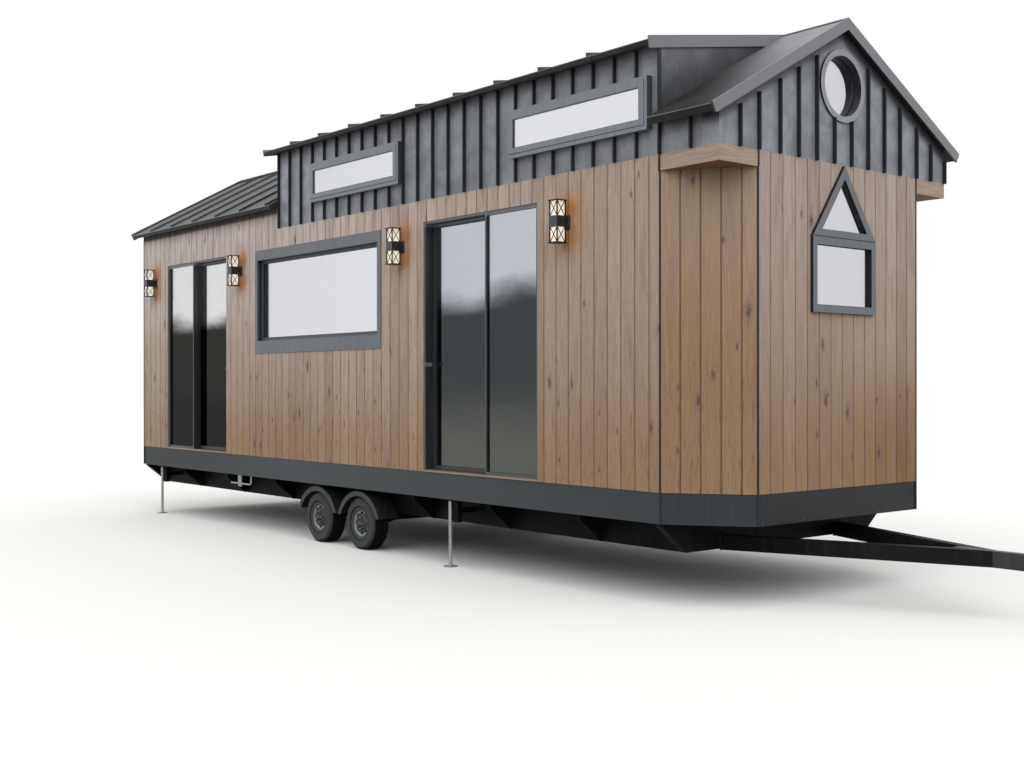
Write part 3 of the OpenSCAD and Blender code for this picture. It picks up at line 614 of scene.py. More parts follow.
# Darker under the far end and on the front, where less of the sky falls on it
tint = mixed(fade(part["X"], -8.0, -5.0), (36, 42, 45), (63, 69, 72))
tint = mixed(fade(part["X"], -3.2, -0.6), tint, (57, 62, 65))
tint = mixed(fade(part["X"], -0.497, -0.49), tint, (51, 55, 58))
far_dark = mixed(fade(part["Y"], -0.9, 0.9), (36, 40, 43), (22, 26, 29))
tint = mixed(fade(part["X"], -0.01, -0.003), tint, far_dark)
wear(weather, inputs, 0.0005, Colour=tint, Dust=0.04, Reach=0.8, Streaks=0.05, Shine=0.42, Clouds=0.12)
coat(skirt_look, "side_skirts", "end_skirts")
pan_screw = pattern(turned("pan_screw", [(0, -0.0022), (0.0022, -0.0021), (0.0042, -0.0012),
                                         (0.0046, 0), (0, 0)], 10))
screw_look = finish("skirt_screws", (84, 88, 91), metallic=0.3, Dust=0.1, Shine=0.4, Grain=700.0)
SCREW_Z, SCREW_ROWS = 0.020, (0, 0, 0.164)
for side, start, step, count, turn in (
        ("right", (-8.53, -1.25), (0.446, 0, 0), 18, 0.0),
        ("left", (-8.53, 1.25), (0.446, 0, 0), 18, math.pi),
        ("front", (0, -0.84), (0, 0.42, 0), 5, math.pi / 2),
        ("rear", (-8.58, -1.2), (0, 0.48, 0), 6, -math.pi / 2)):
    set_rows("skirt_screws_" + side, "skirt_metal", screw_look, pan_screw, start + (SCREW_Z,), step, count,
             SCREW_ROWS, 2, (0, 0, turn))

# Timber storey
# Knotty softwood boards, oiled, with painted light that makes them lighter and greyer towards the top,
# stand on a dark membrane with a thin V groove at each joint. The inside is lined with pale boards.
WALL, FRONT_Y, CHAM_X, LENGTH = 1.25, 0.883, 0.5, 8.58
SKIRT_TOP, STOREY, SOFFIT, EAVE_WALL = 0.204, 2.387, 2.283, 2.617
CHAM = math.hypot(CHAM_X, WALL - FRONT_Y)
CHAM_TURN = math.atan2(WALL - FRONT_Y, CHAM_X)
BOARD, FRONT_BOARD, STRIP, SKIN = 0.13, 0.1275, 0.007, 0.004
DORMER_REAR = -5.450
DOORS, DOOR_W, DOOR_TOP = (-1.707, -6.549), 1.403, 2.212
LAMP_OUT, LAMP_Z = 0.31, 2.038

# Boards, trays, ribs and seams side by side along X, standing on Z, their outside towards -Y,
# trimmed by a cutter and then turned into place. "board" holds the place across the board, the
# place along it shifted at random, and a random value for each board.
boards, given = shape_tree("boards", {
    "Start": "Float", "Pitch": "Float", "Count": "Int", "Width": "Float", "Depth": "Float",
    "Groove": "Float", "Bottom": "Float", "Top": "Float", "Cutter": "Object", "Seed": "Int",
    "Place": "Vector", "Turn": "Vector"})
tall = calc("SUBTRACT", given["Top"], given["Bottom"])
one = put("GeometryNodeMeshCube", {"Size": point(given["Width"], given["Depth"], tall)})
local = axes(boards.nodes.new("GeometryNodeInputPosition").outputs[0])
outside = calc("LESS_THAN", local["Y"], 0.0)
narrow = calc("SUBTRACT", 1.0, product(outside, calc("DIVIDE", given["Groove"], given["Width"])))
corners = point(product(local["X"], narrow), local["Y"], local["Z"])
one = put("GeometryNodeSetPosition", {"Geometry": one, "Position": corners})
index = boards.nodes.new("GeometryNodeInputIndex").outputs[0]
middles = point(calc("MULTIPLY_ADD", calc("ADD", index, 0.5), given["Pitch"], given["Start"]),
                product(given["Depth"], -0.5), calc("MULTIPLY_ADD", tall, 0.5, given["Bottom"]))
spots = put("GeometryNodePoints", {"Count": given["Count"], "Position": middles})
laid = put("GeometryNodeInstanceOnPoints", {"Points": spots, "Instance": one})
laid = put("GeometryNodeRealizeInstances", {0: laid})
cutting = add("GeometryNodeMeshBoolean", {"Mesh 2": held(given["Cutter"])},
              operation="DIFFERENCE", solver="MANIFOLD")
boards.links.new(laid, cutting.inputs["Mesh 1"])
local = axes(boards.nodes.new("GeometryNodeInputPosition").outputs[0])
along = calc("SUBTRACT", local["X"], given["Start"])
number = put("GeometryNodeFieldOnDomain", {
    0: calc("FLOOR", calc("DIVIDE", along, given["Pitch"]))}, domain="FACE")
dice = add("FunctionNodeRandomValue", {"ID": number, "Seed": given["Seed"]}).outputs[1]
across = calc("SUBTRACT", along, product(calc("ADD", number, 0.5), given["Pitch"]))
named = put("GeometryNodeStoreNamedAttribute", {
    "Geometry": cutting.outputs[0], "Name": "board",
    "Value": point(across, calc("MULTIPLY_ADD", dice, 17.0, local["Z"]), dice)},
    data_type="FLOAT_VECTOR", domain="CORNER")
end_tree(put("GeometryNodeTransform", {
    "Geometry": named, "Translation": given["Place"], "Rotation": given["Turn"]}), given["Material"])

# Softwood: long grain that bends round knots with dark hearts, darker early wood, board tones
timber, given, result = effect("softwood", {
    "Colour": plain(158, 138, 122), "Second colour": plain(150, 124, 100), "Across": 0.0,
    "Along": 0.0, "Board": 0.5, "Knots": 0.5, "Shine": 0.6}, ["Colour", "Roughness", "Height"])
KNOT_ACROSS, KNOT_ALONG = 0.12, 0.36
cell = point(calc("MULTIPLY_ADD", given["Across"], 1 / KNOT_ACROSS, product(given["Board"], 91.0)),
             product(given["Along"], 1 / KNOT_ALONG), 0.0)
knot = add("ShaderNodeTexVoronoi", {"Vector": cell, "Scale": 1.0}, voronoi_dimensions="2D").outputs
offset = axes(put("ShaderNodeVectorMath", {0: cell, 1: knot["Position"]}, operation="SUBTRACT"))
fate = axes(knot["Color"])
size = calc("MULTIPLY_ADD", calc("POWER", fate["X"], 2.0), 0.0140, 0.0080)
ragged = cloud(point(given["Across"], given["Board"], given["Along"]), 55.0)
far = diagonal(calc("DIVIDE", product(offset["X"], KNOT_ACROSS), size),
               calc("DIVIDE", product(offset["Y"], KNOT_ALONG), product(size, 2.6)))
far = product(fade(ragged, 0.25, 0.75, 0.6, 1.5), far)
there = calc("LESS_THAN", fate["Y"], given["Knots"])
heart = product(fade(far, 1.0, 0.25), there)
halo = product(fade(far, 2.2, 0.5), there)
figure = point(calc("MULTIPLY_ADD", halo, 0.006, given["Across"]),
               product(given["Board"], 31.0), given["Along"])
broad, fine, stain, fleck = [cloud(put("ShaderNodeVectorMath", {
    0: figure, 1: (x, 1.0, z)}, operation="MULTIPLY"), 1.0, detail, roughness, distortion)
    for x, z, detail, roughness, distortion in [(26, 1.1, 3.0, 0.5, 0.6), (240, 3.0, 3.0, 0.6, 0.0),
                                                (15, 1.7, 4.0, 0.6, 0.0), (85, 8.0, 2.0, 0.6, 0.4)]]
late = fade(calc("PINGPONG", product(broad, 7.0), 0.5), 0.05, 0.48)
tint = mixed(chance(given["Board"]), given["Colour"], given["Second colour"])
for share, colour in ((product(late, 0.15), (106, 78, 56)),
                      (fade(stain, 0.51, 0.66, 0.0, 0.48), (136, 114, 110)),
                      (fade(stain, 0.47, 0.33, 0.0, 0.36), (170, 148, 108)),
                      (product(fade(fleck, 0.58, 0.68), given["Knots"]), (98, 66, 48)),
                      (product(halo, 0.46), (112, 86, 82)),
                      (product(heart, 0.64), (70, 52, 54))):
    tint = mixed(share, tint, colour)
tone = product(fade(fine, 0.25, 0.75, 0.95, 1.05), fade(stain, 0.2, 0.8, 0.92, 1.07),
               calc("MULTIPLY_ADD", given["Board"], 0.10, 0.95))
timber.links.new(scaled(tint, tone), result["Colour"])
timber.links.new(calc("MULTIPLY_ADD", fine, 0.18, given["Shine"]), result["Roughness"])
timber.links.new(calc("ADD", product(fine, 0.5), calc("SUBTRACT", late, product(heart, 1.5))),
                 result["Height"])

timber_look, inputs = shade("timber_cladding", gloss=0.25)
told = axes(add("ShaderNodeAttribute", attribute_name="board").outputs["Vector"])
part = here()
middling = fade(part["Z"], 0.25, 1.25)
upper = fade(part["Z"], 0.9, 2.2)
front = fade(part["X"], -0.02, 0.0)
ahead = product(front, upper)
slanted = product(calc("GREATER_THAN", part["X"], -CHAM_X),
                  calc("GREATER_THAN", far_from(part["Y"], 0.0), FRONT_Y))
away = fade(part["X"], -5.0, -7.4)
# Painted light: the lanterns' warm glow on the wall, from the upper and the lower tier of each
TIER, GLOW_AHEAD = 0.095, 0.03
beside = part["X"]
for middle in (sum(DOORS) / 2 - DOOR_W / 2 + GLOW_AHEAD, (DOORS[0] - DOORS[1]) / 2, DOOR_W / 2 + LAMP_OUT):
    beside = far_from(beside, middle)
glow = 0.0
for tier in (-TIER, TIER):
    apart = diagonal(beside, calc("SUBTRACT", part["Z"], LAMP_Z + tier))
    lit = calc("MULTIPLY_ADD", fade(apart, 0.24, 0.05), 0.38, product(fade(apart, 0.13, 0.05), 0.50))
    glow = calc("MAXIMUM", glow, lit)
glow = product(glow, calc("LESS_THAN", part["Y"], -1.2))
# Painted light: towards the rear the long walls are painted lighter and bluer under the eaves, a painted
# sheen of the sky, and browner low down
light = (0.91, 0.87, 0.76, 1.0)
for low, high, tone in ((0.3, 1.1, (1.04, 1.07, 1.13, 1.0)), (1.2, 1.9, (1.28, 1.44, 1.70, 1.0)),
                        (2.2, 2.5, (1.58, 1.77, 2.14, 1.0))):
    light = mixed(fade(part["Z"], low, high), light, tone)
light = mixed(fade(part["X"], -3.0, -7.0), (255, 255, 255), light)
# Painted light: the long walls' middle stretch is lighter still
middle = product(fade(part["X"], -1.2, -2.2), fade(part["X"], -6.2, -4.6))
light = mixed(middle, light, (1.15, 1.21, 1.31, 1.0), "MULTIPLY")
# Painted shade: the front wall is browner and darker low down on its far side, and painted light makes its
# upper part bluer
far_low_shade = product(front, fade(part["Y"], -0.3, 0.7), fade(part["Z"], 1.2, 0.5))
light = mixed(far_low_shade, light, (0.79, 0.69, 0.58, 1.0))
light = mixed(ahead, light, (1.0, 1.05, 1.11, 1.0))
# The two colours that boards range between: low, middling and high up on the long walls, with
# painted sky sheen that greys them upwards and paler still at the rear, then on the slanted faces,
# painted darker as the corner boxes' shade, and on the front, greyer above as painted sheen. The
# lanterns' painted glow goes over them all
tints = []
for lowest, breast, highest, shaded_slant, front_sheen in (
        ((162, 134, 102), (176, 154, 136), (186, 166, 150), (174, 151, 127), (186, 172, 166)),
        ((150, 120, 90), (162, 140, 121), (172, 151, 135), (160, 137, 112), (176, 161, 154))):
    tint = mixed(upper, mixed(middling, lowest, breast), highest)
    tint = mixed(product(away, 0.6), tint, (186, 168, 152))
    tint = mixed(slanted, tint, mixed(upper, (152, 123, 92), shaded_slant))
    tint = mixed(1.0, tint, light, "MULTIPLY")
    tint = mixed(product(ahead, 0.6), tint, front_sheen)
    tints.append(mixed(glow, tint, (192, 128, 66)))
knotty = product(fade(part["Z"], 0.3, 2.0, 0.48, 0.12),
                 fade(part["X"], -0.02, 0.0, 1.0, 0.55), calc("MULTIPLY_ADD", ahead, -0.6, 1.0))
tint = wear(timber, inputs, 0.0012, Across=told["X"], Along=told["Y"], Board=told["Z"],
            Colour=tints[0], Second_colour=tints[1], Knots=knotty)["Colour"]
# The board's own edges are darker in the V grooves, painted shade together with the oil and dirt
# that gather beside the joint, and the wall is painted dark in the eave's shadow at its top
edge = fade(far_from(told["X"], 0.0), 0.0570, 0.0600, 0.0, 0.45)
shadow = product(fade(part["Z"], 2.515, 2.545, 0.0, 0.8), calc("LESS_THAN", part["X"], -5.5))
tree.links.new(mixed(shadow, mixed(edge, tint, (92, 58, 36)), (34, 26, 20)), inputs["Base Color"])


def facing():
    """The X, Y and Z of the way a surface faces."""
    return axes(tree.nodes.new("ShaderNodeTexCoord").outputs["Normal"])


# The corner boxes have one board along each face instead; painted shade makes their undersides browner and
# darker than the other faces
box_look, inputs = shade("box_timber", gloss=0.25)
part = here()
below = calc("LESS_THAN", facing()["Z"], -0.5)
wear(timber, inputs, 0.0012, Across=part["Z"], Along=calc("ADD", part["X"], part["Y"]),
     Board=0.37, Knots=0.0, Colour=mixed(below, (190, 170, 155), (140, 104, 74)),
     Second_colour=mixed(below, (180, 160, 145), (132, 98, 70)))
coat(box_look, "corner_boxes")


def prisms(*outlines, depth=0.2):
    """A cutter of upright-faced blocks, each an outline in X and Z carried along Y."""
    mesh = bpy.data.meshes.new("cuts")
    work = bmesh.new()
    for outline in outlines:
        near, far = [[work.verts.new((x, y, z)) for x, z in outline] for y in (-depth, depth)]
        work.faces.new(near)
        work.faces.new(far[::-1])
        for k in range(len(outline)):
            work.faces.new((near[k - 1], near[k], far[k], far[k - 1]))
    bmesh.ops.recalc_face_normals(work, faces=work.faces)
    work.to_mesh(mesh)
    return scene_object("cuts", mesh)


def oblong(x0, x1, z0, z1):
    """The outline of a rectangle."""
    return [(x0, z0), (x1, z0), (x1, z1), (x0, z1)]


def run_boards(name, turn, corner, start, pitch, count, bottom, top, cutter, slot="timber_cladding",
               material=timber_look, width=None, depth=0.005, groove=0.008, seed=1, tilt=0.0):
    """A run of boards, trays, ribs or seams on one wall or slope."""
    return grow(name, boards, "house", slot, material, Start=start, Pitch=pitch, Count=count,
                Width=width or pitch - 0.0004, Depth=depth, Groove=groove, Bottom=bottom, Top=top,
                Cutter=cutter, Seed=seed, Place=at(*corner), Turn=Vector((tilt, 0, turn)))


# The front end, sill, width and height of the big and the small window
BIG, SMALL = (-3.722, 1.207, 2.205, 1.002), (-3.880, 1.430, 1.200, 0.530)
POINTED = [(-0.35, 1.382), (0.35, 1.382), (0.35, 1.889), (0, 2.380), (-0.35, 1.889)]
run_boards("door_side_boards", 0.0, (0, -WALL, 0), 0.056 - 68 * BOARD, BOARD, 68, SKIRT_TOP, EAVE_WALL,
           prisms(*[oblong(x - DOOR_W, x, -1, DOOR_TOP) for x in DOORS],
                  oblong(BIG[0] - BIG[2], BIG[0], BIG[1], BIG[1] + BIG[3]),
                  oblong(-CHAM_X - STRIP, 1, -1, STOREY), oblong(DORMER_REAR, 1, STOREY, 4),
                  oblong(-10, -LENGTH + STRIP, -1, 4)), seed=3)
run_boards("plain_side_boards", math.pi, (0, WALL, 0), -0.056, BOARD, 67, SKIRT_TOP, EAVE_WALL,
           prisms(oblong(-SMALL[0], -SMALL[0] + SMALL[2], SMALL[1], SMALL[1] + SMALL[3]),
                  oblong(-1, CHAM_X + STRIP, -1, STOREY), oblong(-1, -DORMER_REAR, STOREY, 4),
                  oblong(LENGTH - STRIP, 10, -1, 4)), seed=5)
run_boards("front_boards", math.pi / 2, (0, 0, 0), -FRONT_BOARD * 10, FRONT_BOARD, 20, SKIRT_TOP, STOREY,
           prisms(POINTED, oblong(-2, STRIP - FRONT_Y, -1, 3), oblong(FRONT_Y - STRIP, 2, -1, 3)), seed=8)
box_boards = bpy.data.meshes.new("box_boards")
work = bmesh.new()
for side in (-1, 1):
    for lo, hi in (((-CHAM_X + 0.007, WALL, SOFFIT), (0.005, WALL + 0.005, STOREY)),
                   ((0.0, FRONT_Y + 0.007, SOFFIT), (0.005, WALL, STOREY))):
        for v in bmesh.ops.create_cube(work, size=1.0)["verts"]:
            share = [c + 0.5 for c in v.co]
            v.co = at(*[(l + (h - l) * t) * s for l, h, t, s in zip(lo, hi, share, (1, side, 1))])
bmesh.ops.recalc_face_normals(work, faces=work.faces)
work.to_mesh(box_boards)
box_boards.materials.append(box_look)
boards_on_boxes = scene_object("box_boards", box_boards)
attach(boards_on_boxes, "house")
for side, turn, corner, start in (("right", CHAM_TURN, (-CHAM_X, -WALL, 0), 0.0),
                                  ("left", math.pi - CHAM_TURN, (0, FRONT_Y, 0), CHAM - 5 * BOARD)):
    run_boards("corner_boards_" + side, turn, corner, start, BOARD, 5, SKIRT_TOP, SOFFIT,
               prisms(oblong(-1, STRIP, -1, 4), oblong(CHAM - STRIP, 2, -1, 4)), seed=11)
run_boards("rear_boards", -math.pi / 2, (-LENGTH, 0, 0), -BOARD * 10, BOARD, 20, SKIRT_TOP, EAVE_WALL,
           prisms(oblong(-2, STRIP - WALL, -1, 4), oblong(WALL - STRIP, 2, -1, 4)), seed=14)


def past_walls(part):
    """How far a point is past the straight walls' faces."""
    ends = calc("MAXIMUM", part["X"], calc("SUBTRACT", -LENGTH, part["X"]))
    return calc("MAXIMUM", ends, calc("SUBTRACT", far_from(part["Y"], 0.0), WALL))


# Behind the boards the CAD walls show dark membrane outside and pale lining boards inside
LINING = 0.14
wall_look, inputs = shade("wall_core")
part = here()
past_slant = calc("MULTIPLY_ADD", part["X"], math.sin(CHAM_TURN),
                  product(far_from(part["Y"], 0.0), math.cos(CHAM_TURN)))
past_slant = calc("SUBTRACT", past_slant, WALL * math.cos(CHAM_TURN) - CHAM_X * math.sin(CHAM_TURN))
outside = calc("GREATER_THAN", calc("MAXIMUM", past_walls(part), past_slant), -SKIN)
groove = far_from(calc("FRACT", calc("DIVIDE", part["Z"], LINING)), 0.5)
lining = mixed(fade(groove, 0.478, 0.492), (206, 198, 184), (140, 130, 116))
lining = mixed(fade(cloud(spot((3, 3, 60)), 1.0), 0.3, 0.7), lining, (190, 180, 164))
wear(weather, inputs, 0.0004, Colour=mixed(outside, lining, (74, 52, 40)), Dust=0.0,
     Streaks=0.0, Shine=0.6)
coat(wall_look, "door_side_wall", "door_heads", "plain_side_wall", "front_wall", "corner_walls",
     "rear_wall")

# Metal storey
# Blue-grey standing seam sheet with a clouded mill patina on the gables, the dormer's sides and
# its cheeks, with near-black ribs that cap the seams.
GABLE_BAY, OUTER_BAY, SIDE_BAY, SIDE_START = 0.1923, 0.1832, 0.2065, 0.493
RIDGE, EAVE_Y, EAVE_Z, DORMER_Y, DORMER_Z = 3.380, 1.378, 2.617, 1.365, 3.135
MAIN_SLOPE = (RIDGE - EAVE_Z) / EAVE_Y
DORMER_SLOPE = (RIDGE - DORMER_Z) / DORMER_Y


def patina(bay_axis, pitch, start):
    """Each bay's own shade, with soft clouds, fine brush marks and light flecks."""
    ratio = calc("DIVIDE", calc("SUBTRACT", here()[bay_axis], start), pitch)
    own = calc("MULTIPLY_ADD", chance(calc("FLOOR", ratio)), 0.12, 0.90)
    mist = cloud(spot(), 5.5, 6.0, 0.62, 0.4)
    flecks = cloud(spot(), 34.0, 3.0, 0.7)
    brushed = cloud(spot((60, 60, 3)), 1.0)
    return product(own, fade(mist, 0.30, 0.70, 0.72, 1.18),
                   fade(flecks, 0.60, 0.74, 1.0, 1.14), fade(brushed, 0.3, 0.7, 0.96, 1.04))


# Painted light and shade set each sheet's tone: the gables lighter, the dormer's cheeks much darker, its
# sides as they are
for name, nodes, axis, pitch, start, tone in (
        ("gable_metal", ("gable_wall", "rear_gable"), "Y", GABLE_BAY, -WALL, 1.22),
        ("cheek_metal", ("dormer_cheeks",), "Y", GABLE_BAY, -WALL, 0.235),
        ("side_metal", ("upper_side_walls",), "X", SIDE_BAY, -SIDE_START, 1.0)):
    look, inputs = shade(name, metallic=0.1, gloss=0.4)
    part = here()
    over = calc("SUBTRACT", part["Z"], calc("MULTIPLY_ADD", far_from(part["Y"], 0.0), -MAIN_SLOPE, RIDGE))
    at_front, at_rear = [calc("COMPARE", part["X"], x, SKIN) for x in (-CHAM_X, DORMER_REAR)]
    ends = calc("SUBTRACT", calc("MAXIMUM", at_front, at_rear), 0.5)
    outer = calc("GREATER_THAN", calc("MAXIMUM", past_walls(part), ends), -SKIN)
    # Painted shade: the gable is darker under its verges and the dormer's ends are darker close over the
    # main roof; on its sides painted light makes them lighter towards the rear and the top, and painted
    # shade darkens their front end
    light = fade(over, 0.02, 0.42, 1.0, 4.0)
    if name == "gable_metal":
        light = calc("MULTIPLY_ADD", fade(over, -0.11, -0.19), 0.75, 0.25)
    elif name == "side_metal":
        lit = product(fade(part["X"], -3.6, -5.2, 1.0, 1.35), fade(part["Z"], 2.6, 3.05, 1.04, 1.22))
        light = between(at_front, lit, product(light, 0.22))
    skin = scaled(plain(129, 132, 139)[:3], product(light, tone, patina(axis, pitch, start)))
    wear(weather, inputs, 0.0006, Colour=mixed(outer, (204, 197, 184), skin),
         Dust=0.0, Streaks=0.05, Shine=0.42, Clouds=0.06)
    coat(look, *nodes)

rib_look = finish("rib_caps", (30, 32, 38), 0.0004, 0.3, Dust=0.03, Streaks=0.03, Shine=0.45)


def ribs(name, turn, corner, start, pitch, count, bottom, top, cutter=None, width=0.012, depth=0.028):
    """Rib caps or flat strips of the metal storey."""
    run_boards(name, turn, corner, start, pitch, count, bottom, top, cutter, "metal_cladding", rib_look,
               width, depth, 0.002)


def circle(radius, z, steps=40):
    """A circle's outline."""
    return [(radius * math.cos(math.tau * k / steps), z + radius * math.sin(math.tau * k / steps))
            for k in range(steps)]


def pitched(down, *places):
    """Points on a line that runs down on both sides like the main roof, some way under its ridge."""
    return [(y, RIDGE - down - abs(y) * MAIN_SLOPE) for y in places]


ROUND_Z, ROUND_R, RIB_TOP = 2.923, 0.246, 3.4
notch = [(y, z) for y, z in circle(ROUND_R, ROUND_Z) if z < ROUND_Z]
gable_cut = pitched(0.135, -2, -ROUND_R) + [(-ROUND_R, ROUND_Z)] + notch + [
    (ROUND_R, ROUND_Z)] + pitched(0.135, ROUND_R, 2) + [(2, 5), (-2, 5)]
# The first rib and the number of ribs in each run, as the photo shows them
for run, first, pitch, count in (("left_outer", 0.883, OUTER_BAY, 3), ("middle", -0.673, GABLE_BAY, 8),
                                 ("right_outer", -1.0662, OUTER_BAY, 2)):
    ribs("gable_ribs_" + run, math.pi / 2, (0, 0, 0), first - pitch / 2, pitch, count, STOREY, RIB_TOP,
         prisms(gable_cut))
ribs("rear_gable_ribs", -math.pi / 2, (-LENGTH, 0, 0), -1.0577 - GABLE_BAY / 2, GABLE_BAY, 12, EAVE_WALL,
     RIB_TOP, prisms(pitched(0.10, -2, 0, 2) + [(2, 5), (-2, 5)]))
# The dormer windows' front ends, their sill, width and height
DORMER_WINDOWS, DORMER_SILL, DORMER_WIDE, DORMER_TALL = (-0.570, -3.405), 2.557, 1.400, 0.349
UPPER_TOP = RIDGE - DORMER_SLOPE * WALL - 0.062
for side, sign, out in SIDES:
    wall = (0, sign * WALL, 0)
    cuts = [oblong(*sorted((-sign * x, -sign * (x - DORMER_WIDE))), DORMER_SILL, DORMER_SILL + DORMER_TALL)
            for x in DORMER_WINDOWS]
    first = -24.5 * SIDE_BAY - SIDE_START if sign < 0 else SIDE_START - 0.5 * SIDE_BAY
    ribs("dormer_ribs_" + side, out, wall, first, SIDE_BAY, 25, STOREY, UPPER_TOP, prisms(*cuts))
    ribs("nose_rib_" + side, out, wall, sign * 0.224 - 0.1, 0.2, 1, STOREY, EAVE_WALL)
    ribs("box_strip_" + side, out, wall, sign * CHAM_X - 0.1, 0.2, 1, SOFFIT, STOREY, None, 0.014, 0.012)
ribs("front_strips", math.pi / 2, (0, 0, 0), -2 * FRONT_Y, 2 * FRONT_Y, 2, SOFFIT, STOREY, None, 0.014,
     0.010)

# Loft floor
# A board deck between the storeys, which shows through the dormer windows. It is oiled like the
# floor below.
coat(floor_look, "loft_floor")

# Roofs
# Standing seam steel on all slopes but smooth over the front, with grey verge boards, a slim
# ridge cap, undersides painted near-black as shade and a bright drip edge.


def roof_material(name, low, high, darkest, lightest, pitch, start, *nodes):
    """Painted roof sheet: weathered above, paler towards the ridge as painted sky light, and near-black
    below as painted shade.
    """
    look, inputs = shade(name, metallic=0.1, gloss=0.15)
    part = here()
    rise = fade(calc("MULTIPLY_ADD", part["X"], 0.5, part["Z"]), 2.58, 3.32)
    tone = fade(patina("X", pitch, start), 0.7, 1.2, darkest, lightest)
    sheet = scaled(mixed(rise, low, high), tone)
    above = fade(facing()["Z"], 0.05, 0.4)
    wear(weather, inputs, 0.0006, Colour=mixed(above, (15, 16, 17), sheet),
         Dust=0.07, Reach=30.0, Streaks=0.06, Shine=0.45, Clouds=0.1)
    coat(look, *nodes)


roof_material("front_roof_metal", (20, 23, 27), (138, 140, 145), 0.9, 1.1, 2.0, 0.1, "front_roof")
roof_material("seam_roof_metal", (76, 80, 84), (76, 80, 84), 0.85, 1.12, 0.5248, -0.27, "rear_roof",
              "dormer_roof")
verge_look, inputs = shade("verge_metal")
# Painted shade makes the verges' undersides near-black; their faces are darker at the rear end
at_rear = fade(here()["X"], -7.9, -8.2)
face = mixed(at_rear, (120, 123, 129), (52, 54, 56))
wear(weather, inputs, 0.0005, Colour=mixed(fade(facing()["Z"], -0.5, -0.2), (30, 31, 33), face), Dust=0.04,
     Reach=30.0, Streaks=0.06, Shine=0.4)
coat(verge_look, "verge_boards")
coat(finish("ridge_metal", (58, 60, 62), 0.0005, Dust=0.08, Reach=30.0, Shine=0.4), "ridge_caps")
# The seams are darker than the sheet, painted as the shade on their sides
seam_look = finish("seam_metal", (34, 36, 38), 0.0004, Dust=0.05, Reach=30.0, Shine=0.42)
SEAM_DOWN, SEAM_SHORT = 0.020, 0.046
for roof, slope, eave_y, eave_z, first, pitch, count, tall in (
        ("rear", MAIN_SLOPE, EAVE_Y, EAVE_Z, -8.14, 0.524, 6, 0.020),
        ("dormer", DORMER_SLOPE, DORMER_Y, DORMER_Z, -5.06, 0.4985, 9, 0.026)):
    tilt = math.atan(slope)
    for side, sign, out in SIDES:
        edge = (0, sign * (eave_y - SEAM_DOWN * math.sin(tilt)), eave_z - SEAM_DOWN * math.cos(tilt))
        start = first - pitch / 2 if sign < 0 else -first - pitch * (count - 0.5)
        run_boards("%s_seams_%s" % (roof, side), out, edge, start, pitch, count, 0.0,
                   eave_y / math.cos(tilt) - SEAM_SHORT, None, "roof_metal", seam_look, 0.013, tall, 0.004,
                   tilt=tilt - math.pi / 2)
drip_look = finish("drip_edge", (128, 132, 130), 0.0003, metallic=0.2, Dust=0.08, Reach=30.0, Shine=0.35)
lay_bead("drip_edges", "roof_metal", drip_look, 0.0034, *[
    [(x, side * (y - 0.006), z) for x in ends] for side in (-1, 1) for ends, y, z in (
        ((-8.640, DORMER_REAR), EAVE_Y, EAVE_Z - 0.021), ((-CHAM_X, 0.04), EAVE_Y, EAVE_Z - 0.009),
        ((-5.56, -0.505), DORMER_Y, DORMER_Z - 0.022))])
cap_screw = pattern(turned("cap_screw", [(0, -0.003), (0.003, -0.003), (0.0055, -0.0015), (0.006, 0),
                                         (0, 0)], 8))
CAP_Y = 0.034
for side, sign, out in SIDES:
    set_rows("cap_screws_" + side, "roof_metal", screw_look, cap_screw,
             (-8.40, sign * CAP_Y, RIDGE - CAP_Y * MAIN_SLOPE - 0.0005), (0.45, 0, 0), 7,
             turn=(math.atan(MAIN_SLOPE) - math.pi / 2, 0, out))

# Corner strips
# Slim folded strips that cover the ends of the boards at every corner.
strip_look = finish("corner_strip_metal", (38, 40, 43), 0.0003, 0.2, Dust=0.03, Shine=0.5)
strips = lay_bead("corner_beads", "verge_metal", strip_look, 0.0068, *[
    [(x, side * y, 0.001), (x, side * y, top)] for side in (-1, 1) for x, y, top in (
        (-CHAM_X, WALL - 0.001, SOFFIT), (0.002, FRONT_Y + 0.003, SOFFIT),
        (-LENGTH - 0.003, WALL + 0.003, 2.592))], sides=12)
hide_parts("corner_strips")

# Windows
# Satin grey frames folded from sheet, rain-streaked, with black gaskets round sealed panes that
# mirror a pale sky.
TRIM = (112, 116, 121)
trim_look, inputs = shade("window_trim", metallic=0.1, gloss=0.22)
TRIM_INNER = 1.244
part = here()
turned_x = far_from(facing()["X"], 0.0)
jamb = fade(turned_x, 0.4, 0.6)
front = calc("GREATER_THAN", part["X"], -0.2)
gable = product(front, calc("GREATER_THAN", part["Z"], 2.6))
inner = calc("LESS_THAN", far_from(part["Y"], 0.0), TRIM_INNER)
upstairs = calc("GREATER_THAN", part["Z"], 2.4)
# Painted light and shade: faces that look along X and the parts set inside the wall are darker, the front
# windows' side faces near-black, and the frames upstairs and on the gable lighter
outer_tint = mixed(jamb, mixed(upstairs, TRIM, (133, 137, 143)), (72, 75, 80))
inner_tint = mixed(jamb, (84, 87, 92), (36, 38, 42))
front_tint = mixed(fade(turned_x, 0.5, 0.8), (14, 15, 17), mixed(gable, TRIM, (154, 157, 164)))
tint = mixed(front, mixed(inner, outer_tint, inner_tint), front_tint)
wear(weather, inputs, 0.0004, Colour=tint, Dust=0.04, Reach=6.0, Streaks=0.22, Shine=0.38,
     Clouds=0.16, Dust_colour=(84, 87, 92))
coat(trim_look, "big_window_frames", "dormer_window_frames", "pointed_window_frame", "round_window_frame")
gasket_look = finish("gasket_rubber", (26, 27, 30), 0.0002, 0.15, Dust=0.02, Shine=0.6)


